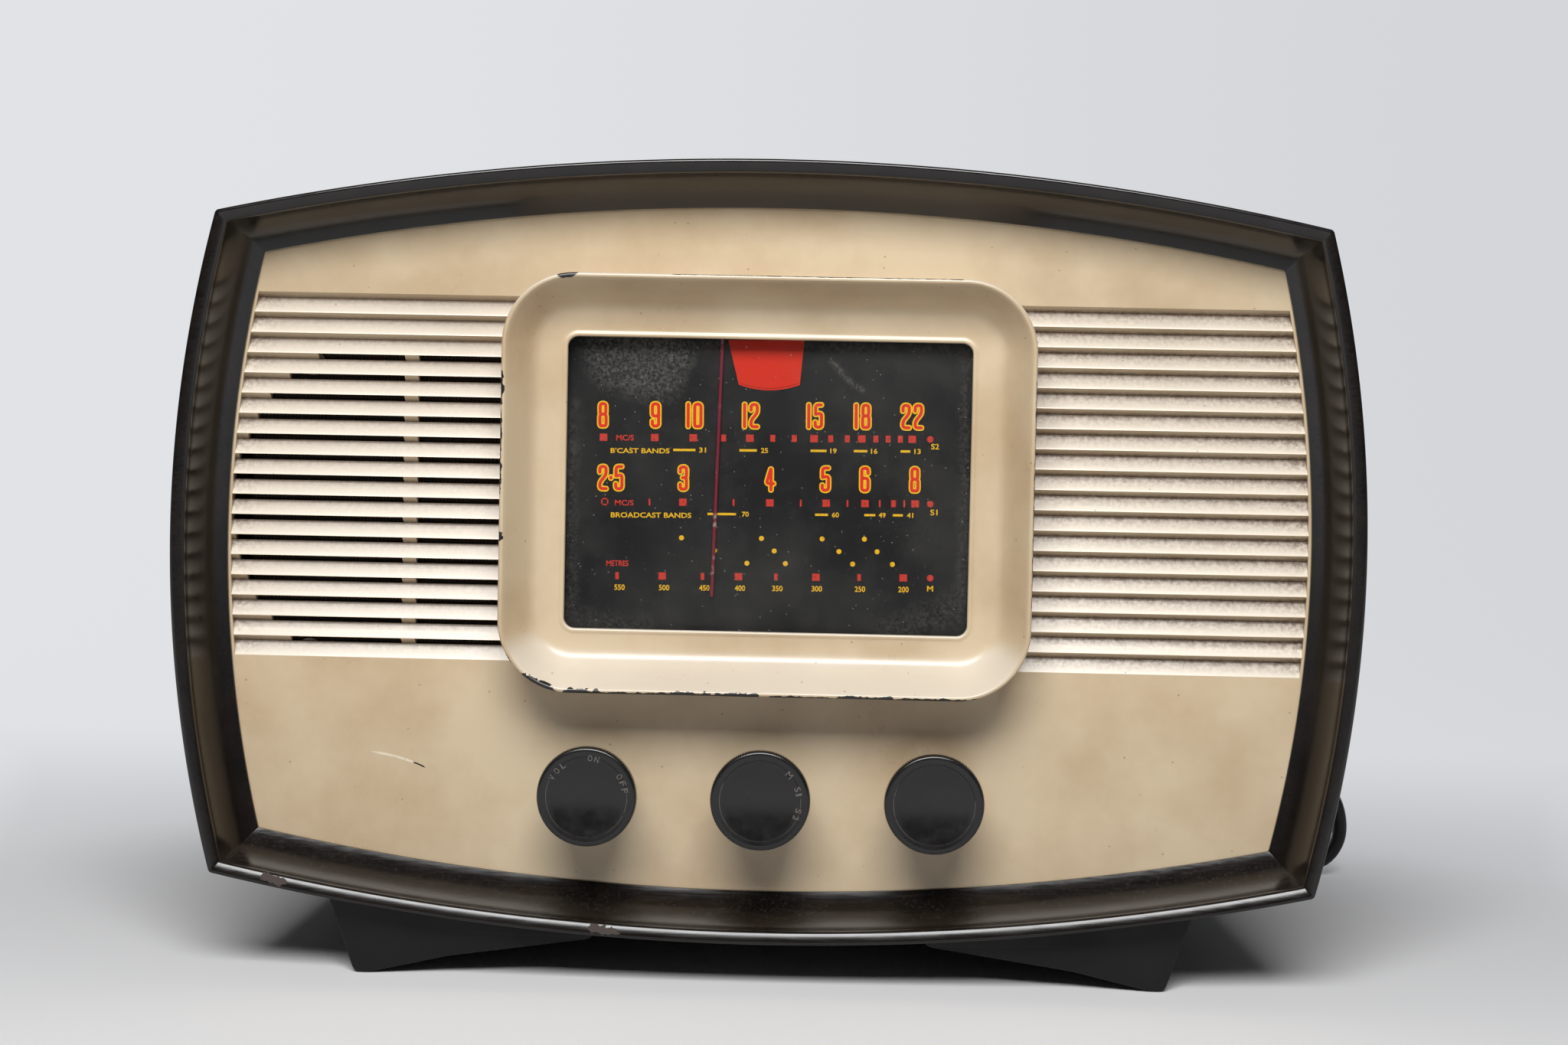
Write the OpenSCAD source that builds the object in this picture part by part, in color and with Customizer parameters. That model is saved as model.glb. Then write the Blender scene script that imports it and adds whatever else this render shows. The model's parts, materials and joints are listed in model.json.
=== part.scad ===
// Bakelite table radio: bowed cabinet, louvred front, slide-rule dial and five valve chassis.
// Millimetres. X to the right, Y into the set, Z up. The origin is on the floor under the middle.

/* [Cabinet] */
// Distance between the left and right corners of the cabinet
corner_w = 341.8; // [335:0.1:355]
// Distance between the lower and upper corners of the cabinet
corner_h = 204.8; // [200:0.1:215]
// How far each side bows out beyond its corners
side_bulge = 13.1; // [10:0.1:16]
// How far the top and the bottom bow out beyond their corners
crown_bulge = 18.5; // [16:0.1:22]
// Depth of the cabinet from its lip to its rear rim
cab_d = 188; // [184:1:220]
// Thickness of the cabinet wall
wall = 3.6; // [3:0.1:4.2]
// How far the walls draw in from the lip to the rear rim
rear_draw = 4.9; // [3:0.1:6]
// Width of the round bead at the lip
bead_w = 4.2; // [3.4:0.1:5]
// Width of the bead and cove together, seen from the front
frame_w = 13; // [12:0.1:15]
// Depth of the front panel behind the lip
recess_d = 19.4; // [17:0.1:22]

/* [Feet] */
// Height of the lowest point of the cabinet above the floor
stand_h = 14.1; // [12:0.1:18]
// Distance from the middle to the outer upper edge of a foot
foot_top = 136.4; // [132:0.1:140]
// Distance from the middle to the outer edge of a sole
foot_sole = 127.4; // [124:0.1:130]
// Width of a sole
sole_w = 4.8; // [4:0.1:8]
// Distance from the middle to the inner end of a foot
foot_root = 52; // [45:0.5:60]
// Thickness of a foot at its inner end
root_t = 3.2; // [2:0.1:5]
// Distance from the middle to the bend in the underside of a foot
foot_bend = 98; // [92:0.5:104]
// Height of that bend above the floor
bend_h = 5.8; // [4:0.1:7]
// Distance from the lip to the front of the feet
foot_setback = 10; // [8:0.5:20]
// Set-back of the feet from the rear edge
foot_rear = 10; // [8:0.5:20]
// Thickness of the walls of the hollow feet
foot_wall = 3; // [2.4:0.1:4]

/* [Front panel] */
// Thickness of the front panel
panel_t = 4.2; // [4:0.1:5]
// Distance from the middle to the screws in the panel's upper and lower edge
panel_screw_x = 112; // [100:1:118]
// Height of the screws in the panel's sides above the middle of the cabinet
panel_screw_z = 86; // [82:0.5:88]
// Number of louvres on each side
louvre_rows = 18; // [16:1:18]
// Height of one louvre
louvre_pitch = 6.41; // [6:0.01:6.45]
// Height of the first louvre edge above the middle of the cabinet
louvre_top = 78.9; // [76:0.1:80]
// Height of the dark riser of each louvre
riser_h = 1.75; // [1.4:0.05:2.2]
// How far each louvre is set back at its deepest
louvre_d = 2.5; // [2:0.1:2.8]
// Plain border between the louvres and the cove
louvre_border = 0.8; // [0.6:0.1:2]
// Distance from the middle to the centre of the speaker grille
grille_x = 113.5; // [113:0.1:114.5]
// Height of the grille centre above the middle of the cabinet
grille_z = 11; // [9:0.5:12]
// Radius of the open part of the grille
grille_r = 56.5; // [50:0.5:58]
// Width of the upright rib through the open louvres
rib_w = 4.4; // [3:0.1:6]
// Number of louvres above the open ones
closed_rows = 3; // [2:1:5]

/* [Dial] */
// Width of the dial surround
surround_w = 163.9; // [162:0.1:166]
// Height of the dial surround
surround_h = 129; // [127:0.1:131]
// Height of the surround's centre above the middle of the cabinet
surround_z = 20.7; // [19.5:0.1:22]
// Corner radius of the surround
surround_r = 22.2; // [21.5:0.1:25]
// Width of the surround's frame
ring_w = 18.85; // [18.5:0.05:19.4]
// How far the surround's rim stands in front of the panel
rim_proud = 21; // [20:0.1:22]
// How far the edge of the window stands in front of the panel
window_proud = 8; // [7.6:0.1:8.6]
// Thickness of the dial glass
glass_t = 2; // [1.6:0.1:2.2]
// How far the glass reaches behind the surround
glass_lap = 5; // [4:0.1:5.2]
// Thickness of the printed dial plate
plate_t = 1; // [0.8:0.1:1.5]
// Left end of the pointer's travel
scale_left = -51.1; // [-52:0.1:-49]
// Right end of the pointer's travel
scale_right = 50.9; // [49:0.1:51]
// Where the pointer stands on its rail
pointer_x = -15.1; // [-20:0.1:20]
// How far the loose lower end of the pointer leans to the left
pointer_lean = 2.1; // [0:0.1:3]
// Length of the pointer wire below its carriage
pointer_len = 87; // [80:0.5:90]
// Diameter of the pointer wire
wire_d = 1.2; // [0.8:0.1:1.4]

/* [Knobs] */
// Diameter of the knobs
knob_d = 31; // [28:0.5:34]
// Length of the knobs
knob_len = 21; // [19.5:0.1:21.4]
// Width of the knob's ribbed rim
knob_rim = 4; // [3.4:0.1:4.6]
// Diameter of the knob's tail
knob_tail = 22.5; // [21.5:0.1:24]
// How far the knobs stand in front of the lip
knob_proud = 4; // [3:0.1:6]
// Distance between the knobs
knob_pitch = 53.4; // [52:0.1:55]
// Height of the knobs below the middle of the cabinet
knob_drop = 75.5; // [74:0.1:77]
// Diameter of the groove in the knob's face
groove_d = 25; // [22:0.5:26]
// Diameter of the control spindles
spindle_d = 6.35; // [6:0.05:6.5]
// Diameter of the grub screws
grub_d = 3; // [2.5:0.1:4]

/* [Tuning drive] */
// Diameter of the drive cord
line_d = 0.9; // [0.7:0.1:1.2]
// Radius of the pulleys in their groove
pulley_r = 5; // [4.5:0.1:5.4]
// Distance from the middle to each pulley
pulley_x = 65; // [64:0.1:67]
// Diameter of the rail that carries the pointer
rail_d = 3; // [2.5:0.1:3.4]
// Height of the rail above the upper edge of the dial plate
rail_lift = 5.2; // [4.8:0.1:6]
// Distance from the middle to the shaft of the drum
drum_x = 22; // [20:0.5:23]
// Height of the drum's shaft above the chassis deck
shaft_h = 44; // [42:0.5:46]
// Width of the drum
drum_w = 6; // [5:0.1:6.4]

/* [Tuning capacitor] */
// Width of the capacitor's frame
gang_w = 44; // [42:1:50]
// Length of the capacitor's frame
gang_len = 48; // [46:1:54]
// Radius of the moving vanes
vane_r = 18; // [16:0.5:18]
// Thickness of the vanes
vane_t = 0.7; // [0.5:0.05:0.8]
// Distance between two moving vanes
vane_pitch = 2.8; // [2.6:0.05:2.9]
// Number of moving vanes in each half
vanes = 6; // [4:1:6]

/* [Speaker] */
// Radius of the baffle board and of the speaker's rim
speaker_r = 60; // [59:0.5:62]
// Thickness of the baffle board
baffle_t = 5; // [4:0.5:6]
// Radius of the circle of fixing screws
fixing_r = 56; // [55:0.5:57]
// Radius of the paper cone
cone_r = 49.6; // [46:0.1:50]
// Depth of the speaker's basket
basket_d = 36; // [32:1:40]
// Radius of the magnet
magnet_r = 30; // [26:1:32]
// Length of the magnet
magnet_len = 26; // [22:1:30]
// Travel of the cone each way
cone_travel = 0.8; // [0.5:0.1:1]

/* [Chassis] */
// Width of the chassis between its end walls
chassis_w = 268; // [262:1:270]
// Depth of the chassis
chassis_d = 118; // [112:1:122]
// Height of the chassis
chassis_h = 44; // [42:0.5:45]
// Height of the deck below the middle of the cabinet
deck_drop = 52; // [51:0.1:53]
// Thickness of the chassis metal
sheet = 1.2; // [1:0.1:1.6]
// Distance from the lip to the front of the chassis
chassis_set = 40; // [39.5:0.1:42]
// Width of the fixing flanges at the chassis ends
flange_w = 14; // [13:0.5:16]
// Width of the mains transformer's core
mains_w = 56; // [50:1:60]
// Thickness of the mains transformer's core
mains_t = 36; // [30:1:38]
// Height of the mains transformer's core
mains_h = 64; // [54:1:70]
// Width of the output transformer's core
output_w = 38; // [32:1:40]
// Thickness of the output transformer's core
output_t = 22; // [18:1:24]
// Height of the output transformer's core
output_h = 32; // [28:1:36]
// Length of the tag strip under the deck
tag_len = 170; // [160:1:180]
// Height of the tag strip
tag_h = 14; // [12:0.5:16]
// Length of the waxed capacitors on the tag strip
wax_len = 24; // [20:1:26]
// Radius of the waxed capacitors
wax_r = 5; // [4:0.5:6]
// Height of the smoothing capacitor
can_h = 62; // [50:1:80]
// Height of the intermediate frequency cans
if_h = 66; // [55:1:75]
// Width of the intermediate frequency cans
if_w = 32; // [28:1:34]
// Height of the glass of a valve above its base
valve_glass = 58; // [45:1:70]
// Radius of a valve's glass
valve_r = 14; // [12:0.5:15]
// Height of a valve's base
valve_base = 18; // [14:1:20]

/* [Back cover] */
// Thickness of the back cover
cover_t = 3; // [2.5:0.1:4]
// How far the back cover lies inside the rear rim
cover_sink = 5; // [4:0.5:7]
// Diameter of the ventilation holes
vent_d = 8; // [6:0.5:9]

/* [Mains cord] */
// Diameter of the mains cord
cable_d = 5.5; // [5:0.1:5.5]
// Number of loops in the coil that is put away
coil_turns = 7; // [5:1:7]
// Mean radius of the coil
coil_mid_r = 30; // [30:0.5:33]
// Diameter of the mains plug
plug_d = 38; // [34:0.5:40]
// Height of the mains plug
plug_h = 25; // [22:0.5:28]
// Length of the tapered sleeve round the cord behind the back cover
sleeve_len = 20; // [16:0.5:21]
// Diameter of the sockets for aerial and earth plugs
socket_bore = 4; // [3.5:0.1:4.2]

/* [Fits] */
// Gap round a fixed piece in its seat
seat_gap = 0.3; // [0.2:0.05:0.4]
// Gap round a turning or sliding piece
run_gap = 0.05; // [0.03:0.01:0.08]
// Diameter of the fixing screws
screw_d = 3.2; // [3:0.1:4]

/* [Hidden] */
$fn = 64;

// Outline: each side is an arc through two corners
hx = corner_w / 2;
hz = corner_h / 2;
side_r = (hz * hz + side_bulge * side_bulge) / (2 * side_bulge);
crown_r = (hx * hx + crown_bulge * crown_bulge) / (2 * crown_bulge);
side_c = hx + side_bulge - side_r;
crown_c = hz + crown_bulge - crown_r;
cab_z = stand_h + crown_bulge + hz;
// Half width and half height of the outline, pulled in by an inset, at a height or place
function side_at(z, inset) = side_c + sqrt(pow(side_r - inset, 2) - z * z);
function crown_at(x, inset) = crown_c + sqrt(pow(crown_r - inset, 2) - x * x);

// Planes from front to rear
front_y = -(cab_d + knob_proud) / 2;
lip_y = front_y + knob_proud;
rear_y = lip_y + cab_d;
panel_y = lip_y + recess_d;
panel_back = panel_y + panel_t;
bead_r = bead_w / 2;
cove_end = recess_d - 1;
cover_back = rear_y - cover_sink;
cover_y = cover_back - cover_t;
function draw(y) = rear_draw * max(0, y - lip_y - bead_r) / (cab_d - bead_r);

// Wall section as insets and depths: a round bead, a hollow cove and the drawn walls
outer_profile = concat(
    [for (a = [0:22.5:90]) [bead_r * (1 - sin(a)), lip_y + bead_r * (1 - cos(a))]],
    [[rear_draw, rear_y]]);
recess_profile = concat(
    [[bead_r, lip_y - 1]],
    [for (a = [0:22.5:67.5]) [bead_r * (1 + sin(a)), lip_y + bead_r * (1 - cos(a))]],
    [for (a = [0:15:90])
        [bead_w + (frame_w - bead_w) * (1 - cos(a)), lip_y + bead_r + (cove_end - bead_r) * sin(a)]],
    [[frame_w, panel_y + 1]]);
cavity_profile = [[draw(panel_y) + wall, panel_y], [rear_draw + wall, rear_y + 1]];
// Middle of the wall, where bosses and posts take root
root_profile = [[draw(panel_y) + wall / 2, panel_y], [rear_draw + wall / 2, rear_y + 1]];

// Louvre field and grille
louvre_bottom = louvre_top - louvre_rows * louvre_pitch;
field_inner = surround_w / 2 - 8;
function louvre_z(row) = cab_z + louvre_top - row * louvre_pitch;

// Dial: the window is what the ring leaves open
window_w = surround_w - 2 * ring_w;
window_h = surround_h - 2 * ring_w;
window_r = surround_r - ring_w;
dial_z = cab_z + surround_z;
glass_seat = window_proud - 1.8;
rim_r = 0.8;
lip_w = 1.6;
aperture_gap = 3;
// The carriage runs behind the panel, and its wire hooks forward over the plate
carrier_y = panel_back + 2;
bracket_y = carrier_y + 3.4;
bracket_h = window_h + 8;
pointer_y = panel_y - glass_seat + glass_t + 1.1;
plate_y = pointer_y + 1.1;
hook_z = dial_z + window_h / 2 + aperture_gap - 0.8 - wire_d / 2;
// Printed plate: clear of the panel's edges and of the hook over its top
plate_w = window_w + 2 * aperture_gap - 2;
plate_low = dial_z - window_h / 2 - aperture_gap + 1;
plate_top = hook_z - wire_d / 2 - 0.6;
bracket_back = bracket_y + sheet;
bracket_w = 150;
ear_mid = bracket_w / 2 - 3;

// Tuning drive: one cord round the drum, both pulleys and the spindle
line_y = bracket_back + 1.3 + drum_w / 2;
line_r = line_d / 2 + run_gap;
travel = scale_right - scale_left;
drum_r = travel / PI - line_r;
drum_rim = drum_r + 1.6;
pulley_w = 5;
pulley_rim = pulley_r + 1.5;
spindle_r = spindle_d / 2;
deck_z = cab_z - deck_drop;
drum_z = deck_z + shaft_h;
rail_y = carrier_y + wire_d / 2 + rail_d / 2 - 0.2;
line_top = dial_z + bracket_h / 2 + rail_lift;
pulley_z = line_top - pulley_r - line_r;
knob_z = cab_z - knob_drop;
// Turn of the drum at rest from its low end, in degrees
drum_rest = 180 * (pointer_x - scale_left) / travel;
carriage_w = 10;
ear_x = max(-scale_left, scale_right) + carriage_w / 2 + 0.9;

// Chassis
chassis_y = lip_y + chassis_set;
chassis_back = chassis_y + chassis_d;
chassis_z = deck_z - chassis_h;
boss_x = chassis_w / 2 + flange_w / 2 + sheet;
boss_ys = [chassis_y + 22, chassis_back - 22];

// Speaker, from the cloth back to the magnet
speaker_x = -grille_x;
speaker_z = cab_z + grille_z;
baffle_y = bracket_back + 0.8;
frame_y = baffle_y + baffle_t;
frame_t = 1.5;
post_r = 4;
magnet_y = frame_y + basket_d;
fixing_angles = [55, 125, 235, 305];
coil_r = 9;
cone_front = frame_y + 0.4;

// Valves and cans stand on the deck at these places
gang_y = chassis_y + sheet + 2;
back_row = chassis_back - 30;
signal_spots = [[86, chassis_y + 30], [-8, back_row], [61, back_row]];
output_spot = [-80, back_row];
rectifier_spot = [-118, back_row];
capacitor_spot = [-42, back_row];
if_spots = [[122, chassis_y + 30], [27, back_row]];
mains_spot = [107, back_row];
output_core = [-30, chassis_y + 30];
socket_h = 3;
screw_r = screw_d / 2;
corner_post = 14;
post_y = chassis_back + 4;
cord_exit = [126, deck_z - 36];
sockets_x = -60;

// Route of the mains cord: chassis, back cover, out past the right side, down and back along the floor
cord_plan = [
    [126, 66, 47], [126, 80, 47], [126, 94, 47], [126, 107, 47], [126.4, 116, 47], [129, 125, 47],
    [135, 132.5, 47], [144, 136.5, 47.5], [155, 136.5, 48.5], [167, 133, 50], [179.5, 127.5, 51.5],
    [191.5, 120.5, 51.5], [203, 114, 48.5], [213.5, 110, 43.5], [221, 108.5, 36], [225.5, 108, 26.5],
    [226, 108.5, 16], [221.5, 110.5, 7.5], [212.5, 114, 3.6], [201, 119.5, 2.8], [189, 126.5, 2.8],
    [177, 134, 2.8], [165, 142, 2.8], [153, 150, 2.8], [141, 158.5, 2.8], [129, 167, 2.8],
    [117, 175, 2.8], [105, 181.5, 2.8], [93, 185.5, 2.8], [84, 186.8, 2.8], [76.5, 187, 2.8]
];
// Behind the chassis the route moves with the back cover, which it was laid out for at this depth
plan_cover = 91;
cord_route = [for (p = cord_plan) p + [0, p[1] > 90 ? cover_back - plan_cover : 0, 0]];
cable_r = cable_d / 2;

// Coil that is put away: spirals in on the floor, climbs, and spirals out above itself
coil_step = cable_d + 0.7;
layer_h = cable_d + 0.5;
coil_in_r = coil_mid_r - coil_step * coil_turns / 4;
coil_out_r = coil_in_r + coil_step * coil_turns / 2;
coil_start = cord_route[len(cord_route) - 1] - [cable_d, 0, 0];
coil_c = coil_start - [0, coil_out_r, 0];
lead_len = 46;
function coil_point(t) = let (
    r = coil_in_r + coil_step * abs(t - coil_turns / 2),
    climb = min(1, max(0, (t - coil_turns / 2 + 0.25) / 0.5)),
    a = 90 + 360 * t)
    coil_c + [r * cos(a), r * sin(a), climb * layer_h];
coil_rings = 24 * coil_turns;
coil_points = concat(
    [coil_start + [cable_d, 0, 0], coil_start + [0.5, 0, 0]],
    [for (i = [1:coil_rings - 1]) coil_point(i / 24)],
    [for (x = [0:0.25:1]) coil_start + [-0.5 - x * (lead_len - 0.5), 0, layer_h]]);
coil_end = coil_points[len(coil_points) - 1];
// Least gap of the coil to itself, between points more than half a loop apart
coil_gap = min([for (i = [0:2:len(coil_points) - 14]) for (j = [i + 12:len(coil_points) - 1])
    norm(coil_points[i] - coil_points[j])]) - cable_d;
echo(coil_gap = coil_gap);

// Tube along a list of points; ring frames are carried from one point to the next
function unit(v) = v / norm(v);
function heading(p, i, loop) = let (n = len(p))
    unit(p[loop ? (i + 1) % n : min(i + 1, n - 1)] - p[loop ? (i + n - 1) % n : max(i - 1, 0)]);
function across(v, t) = unit(v - t * (v * t));
function normals(p, loop, up, i = 0, out = []) = i == len(p) ? out
    : let (n = across(i == 0 ? up : out[i - 1], heading(p, i, loop)))
        normals(p, loop, up, i + 1, concat(out, [n]));
module tube(points, r, sides, up, loop = false) {
    n = len(points);
    side = normals(points, loop, up);
    rings = [for (i = [0:n - 1]) let (t = heading(points, i, loop)) for (j = [0:sides - 1])
        points[i] + r * (cos(360 * j / sides) * side[i] + sin(360 * j / sides) * cross(t, side[i]))];
    walls = [for (i = [0:loop ? n - 1 : n - 2]) for (j = [0:sides - 1]) let (
        a = i * sides + j, b = i * sides + (j + 1) % sides,
        c = ((i + 1) % n) * sides + (j + 1) % sides, d = ((i + 1) % n) * sides + j)
        each [[a, d, c], [a, c, b]]];
    last = (n - 1) * sides;
    caps = loop ? [] : [for (j = [1:sides - 2]) each [[0, j, j + 1], [last, last + j + 1, last + j]]];
    polyhedron(rings, concat(walls, caps));
}

// Solids set along Y: a plate from one depth to another, a rod and a turned piece
module along_y(y0, y1) translate([0, y1, 0]) rotate([90, 0, 0]) linear_extrude(y1 - y0) children();
module rod(x, z, y0, y1, r) translate([x, y0, z]) rotate([-90, 0, 0]) cylinder(r = r, h = y1 - y0);
module turned(x, z, profile, y = 0) translate([x, y, z]) rotate([-90, 0, 0]) rotate_extrude() polygon(profile);
module block(x0, x1, y0, y1, z0, z1) translate([x0, y0, z0]) cube([x1 - x0, y1 - y0, z1 - z0]);

// Solid inside the four arcs, for a section given as insets and depths
module arc_side(x, z, r, profile) translate([x, 0, cab_z + z]) rotate([-90, 0, 0])
    rotate_extrude($fn = 720) polygon(concat(
        [[0, profile[0][1]]],
        [for (p = profile) [r - p[0], p[1]]],
        [[0, profile[len(profile) - 1][1]]]));
module barrel(profile) intersection() {
    arc_side(side_c, 0, side_r, profile);
    arc_side(-side_c, 0, side_r, profile);
    arc_side(0, crown_c, crown_r, profile);
    arc_side(0, -crown_c, crown_r, profile);
}
module plate_shape(inset) barrel([[inset, panel_y], [inset, panel_back]]);

// Upright pieces on the deck
module upright(spot, z0, z1, r) translate([spot[0], spot[1], z0]) cylinder(r = r, h = z1 - z0);

// Places of the fixing screws
foot_screw_spots = [for (y = [-50, 50]) [(foot_root + foot_sole) / 2, y]];
cover_spots = [for (sx = [-1, 1]) for (sz = [-1, 1])
    [sx * (hx - rear_draw - wall - corner_post / 2 - 1), sz * (hz - rear_draw - wall - corner_post / 2 - 1)]];
panel_inset = (wall + frame_w) / 2 - 1.3;
panel_spots = concat(
    [for (sx = [-1, 1]) for (sz = [-1, 1]) [sx * panel_screw_x, sz * crown_at(panel_screw_x, panel_inset)]],
    [for (sx = [-1, 1]) [sx * side_at(panel_screw_z, panel_inset), panel_screw_z]]);
surround_spots = [for (sx = [-1, 1]) for (dz = [-38, 38])
    [sx * (surround_w / 2 - ring_w / 2 + 1), surround_z + dz]];

module cabinet() color("#3a1512") difference() {
    union() {
        difference() {
            barrel(outer_profile);
            barrel(recess_profile);
            barrel(cavity_profile);
        }
        // Corner posts for the back cover, chassis bosses and pads under the foot screws
        intersection() {
            barrel(root_profile);
            union() {
                for (p = cover_spots) block(p[0] - corner_post / 2 - (p[0] < 0 ? 9 : 0),
                    p[0] + corner_post / 2 + (p[0] > 0 ? 9 : 0), post_y, cover_y,
                    cab_z + p[1] - corner_post / 2 - (p[1] < 0 ? 9 : 0),
                    cab_z + p[1] + corner_post / 2 + (p[1] > 0 ? 9 : 0));
                for (sx = [-1, 1]) for (y = boss_ys) upright([sx * boss_x, y], 0, chassis_z, 6);
                for (sx = [-1, 1]) for (p = foot_screw_spots) upright([sx * p[0], p[1]], 0, pad_z, 6);
            }
        }
    }
    for (p = cover_spots) rod(p[0], cab_z + p[1], cover_y - 12, cover_y + 1, screw_r + run_gap);
    for (sx = [-1, 1]) for (y = boss_ys)
        upright([sx * boss_x, y], chassis_z - 5, chassis_z + 1, screw_r + run_gap);
    for (sx = [-1, 1]) for (p = foot_screw_spots) upright([sx * p[0], p[1]], 0, pad_z + 1, screw_r + seat_gap);
    for (p = panel_spots) rod(p[0], cab_z + p[1], panel_y - 3.5, panel_y + 1, screw_r / 2 + run_gap);
}
// Rear end of the feet, and the inner floor of the cabinet under their screws
foot_back = rear_y - foot_rear;
pad_z = cab_z - crown_at(foot_screw_spots[0][0], wall) + rear_draw + 1;

// Feet: hollow wedges up to the underside, each with two solid ribs for its screws
foot_eave = cab_z - crown_at(foot_top, 0);
root_z = cab_z - crown_at(foot_root, 0) - root_t;
module foot_section(t) polygon([
    [foot_root + 2 * t, root_z + t], [foot_bend, bend_h + t],
    [foot_sole - sole_w, t], [foot_sole - t / 2, t],
    [foot_top - t, foot_eave], [foot_top - t, cab_z], [foot_root + 2 * t, cab_z]]);
module foot(s) color("#262524") difference() {
    scale([s, 1, 1]) along_y(lip_y + foot_setback, foot_back) foot_section(0);
    scale([s, 1, 1]) for (i = [0:2]) along_y(
        i == 0 ? lip_y + foot_setback + foot_wall : foot_screw_spots[i - 1][1] + 8,
        i == 2 ? foot_back - foot_wall : foot_screw_spots[i][1] - 8)
        foot_section(foot_wall);
    barrel([[0, lip_y + bead_r], [rear_draw, rear_y]]);
    for (p = foot_screw_spots) upright([s * p[0], p[1]], pad_z - 16, cab_z, screw_r + run_gap);
}
module foot_left() foot(-1);
module foot_right() foot(1);
module foot_screws() color("#8b8578") for (sx = [-1, 1]) for (p = foot_screw_spots) {
    upright([sx * p[0], p[1]], pad_z - 15, pad_z, screw_r);
    upright([sx * p[0], p[1]], pad_z, pad_z + 2.2, screw_r * 1.9);
}

// Front panel: saw-toothed louvres on each side, open behind the left grille
module louvre_air() rotate([90, 0, 90]) linear_extrude(hx + side_bulge - field_inner)
    polygon(concat(
        [[panel_y - 1, louvre_z(louvre_rows)], [panel_y - 1, louvre_z(0)]],
        [for (row = [0:louvre_rows - 1]) each
            [[panel_y, louvre_z(row)], [panel_y + louvre_d, louvre_z(row) - riser_h]]],
        [[panel_y, louvre_z(louvre_rows)]]));
module grille_slots() difference() {
    intersection() {
        rod(speaker_x, speaker_z, panel_y - 2, panel_back + 1, grille_r);
        barrel([[frame_w + louvre_border, panel_y - 2], [frame_w + louvre_border, panel_back + 1]]);
        union() for (row = [closed_rows:louvre_rows - 1])
            block(speaker_x - grille_r, -field_inner - 4, panel_y - 2, panel_back + 1,
                louvre_z(row) - riser_h, louvre_z(row));
    }
    block(speaker_x - rib_w / 2, speaker_x + rib_w / 2, panel_y - 3, panel_back + 2, 0, 2 * cab_z);
}
module front_panel() color("#d9c7a6") difference() {
    union() {
        plate_shape(wall + draw(panel_back) + seat_gap);
        for (a = fixing_angles) rod(speaker_x + fixing_r * cos(a), speaker_z + fixing_r * sin(a),
            panel_back - 1, baffle_y, post_r);
    }
    for (s = [-1, 1]) intersection() {
        barrel([[frame_w + louvre_border, panel_y - 1], [frame_w + louvre_border, panel_back]]);
        translate([s > 0 ? field_inner : -hx - side_bulge, 0, 0]) louvre_air();
    }
    grille_slots();
    block(-window_w / 2 - aperture_gap, window_w / 2 + aperture_gap, panel_y - 1, panel_back + 1,
        dial_z - window_h / 2 - aperture_gap, dial_z + window_h / 2 + aperture_gap + 1.5);
    for (i = [-1:1]) rod(i * knob_pitch, knob_z, panel_y - 1, panel_back + 1, spindle_r + 1.8);
    for (a = fixing_angles) rod(speaker_x + fixing_r * cos(a), speaker_z + fixing_r * sin(a),
        baffle_y - 5, baffle_y + 1, screw_r / 2 + run_gap);
    for (p = panel_spots) rod(p[0], cab_z + p[1], panel_y - 1, panel_back + 1, screw_r / 2 + run_gap);
    for (p = surround_spots) rod(p[0], cab_z + p[1], panel_y - 1, panel_back + 1, screw_r / 2 + run_gap);
}
module panel_screws() color("#8b8578") {
    for (p = panel_spots) {
        rod(p[0], cab_z + p[1], panel_y - 3, panel_back, screw_r / 2);
        rod(p[0], cab_z + p[1], panel_back, panel_back + 1.4, screw_r);
    }
    for (p = surround_spots) {
        rod(p[0], cab_z + p[1], panel_y - 2.5, panel_back, screw_r / 2);
        rod(p[0], cab_z + p[1], panel_back, panel_back + 1.4, screw_r);
    }
}

// Hollow of the surround: share of its width and share of its drop, a steep flank and a shallow floor
cove_floor = window_proud - 0.4;
cove = [[0, 0.99], [0.2, 0.63], [0.4, 0.26], [0.46, 0.17], [0.54, 0.095], [0.66, 0.05], [0.82, 0.015], [1, 0]];
// Section of the surround: distance in from its outer edge, and height above the panel
surround_section = concat(
    [[0, 0]],
    [for (a = [180:-22.5:22.5]) [rim_r * (1 + cos(a)), rim_proud - rim_r + rim_r * sin(a)]],
    [for (c = cove) [2 * rim_r + c[0] * (ring_w - lip_w - 2 * rim_r),
        cove_floor + c[1] * (rim_proud - 0.4 - cove_floor)]],
    [[ring_w - lip_w + 0.6, window_proud], [ring_w - 0.4, window_proud], [ring_w, window_proud - 0.5],
     [ring_w, glass_seat], [ring_w - glass_lap - seat_gap, glass_seat],
     [ring_w - glass_lap - seat_gap, 0]]);
module ring_corner(x, z, a) translate([x, panel_y, z]) rotate([90, 0, 0]) rotate([0, 0, a])
    rotate_extrude(angle = 90) polygon([for (p = surround_section) [surround_r - p[0], p[1]]]);
module ring_side(x, z, a, len) translate([x, panel_y, z]) rotate([90, 0, 0]) rotate([0, 0, a])
    translate([0, len / 2, 0]) rotate([90, 0, 0]) linear_extrude(len)
        polygon([for (p = surround_section) [-p[0], p[1]]]);
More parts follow.
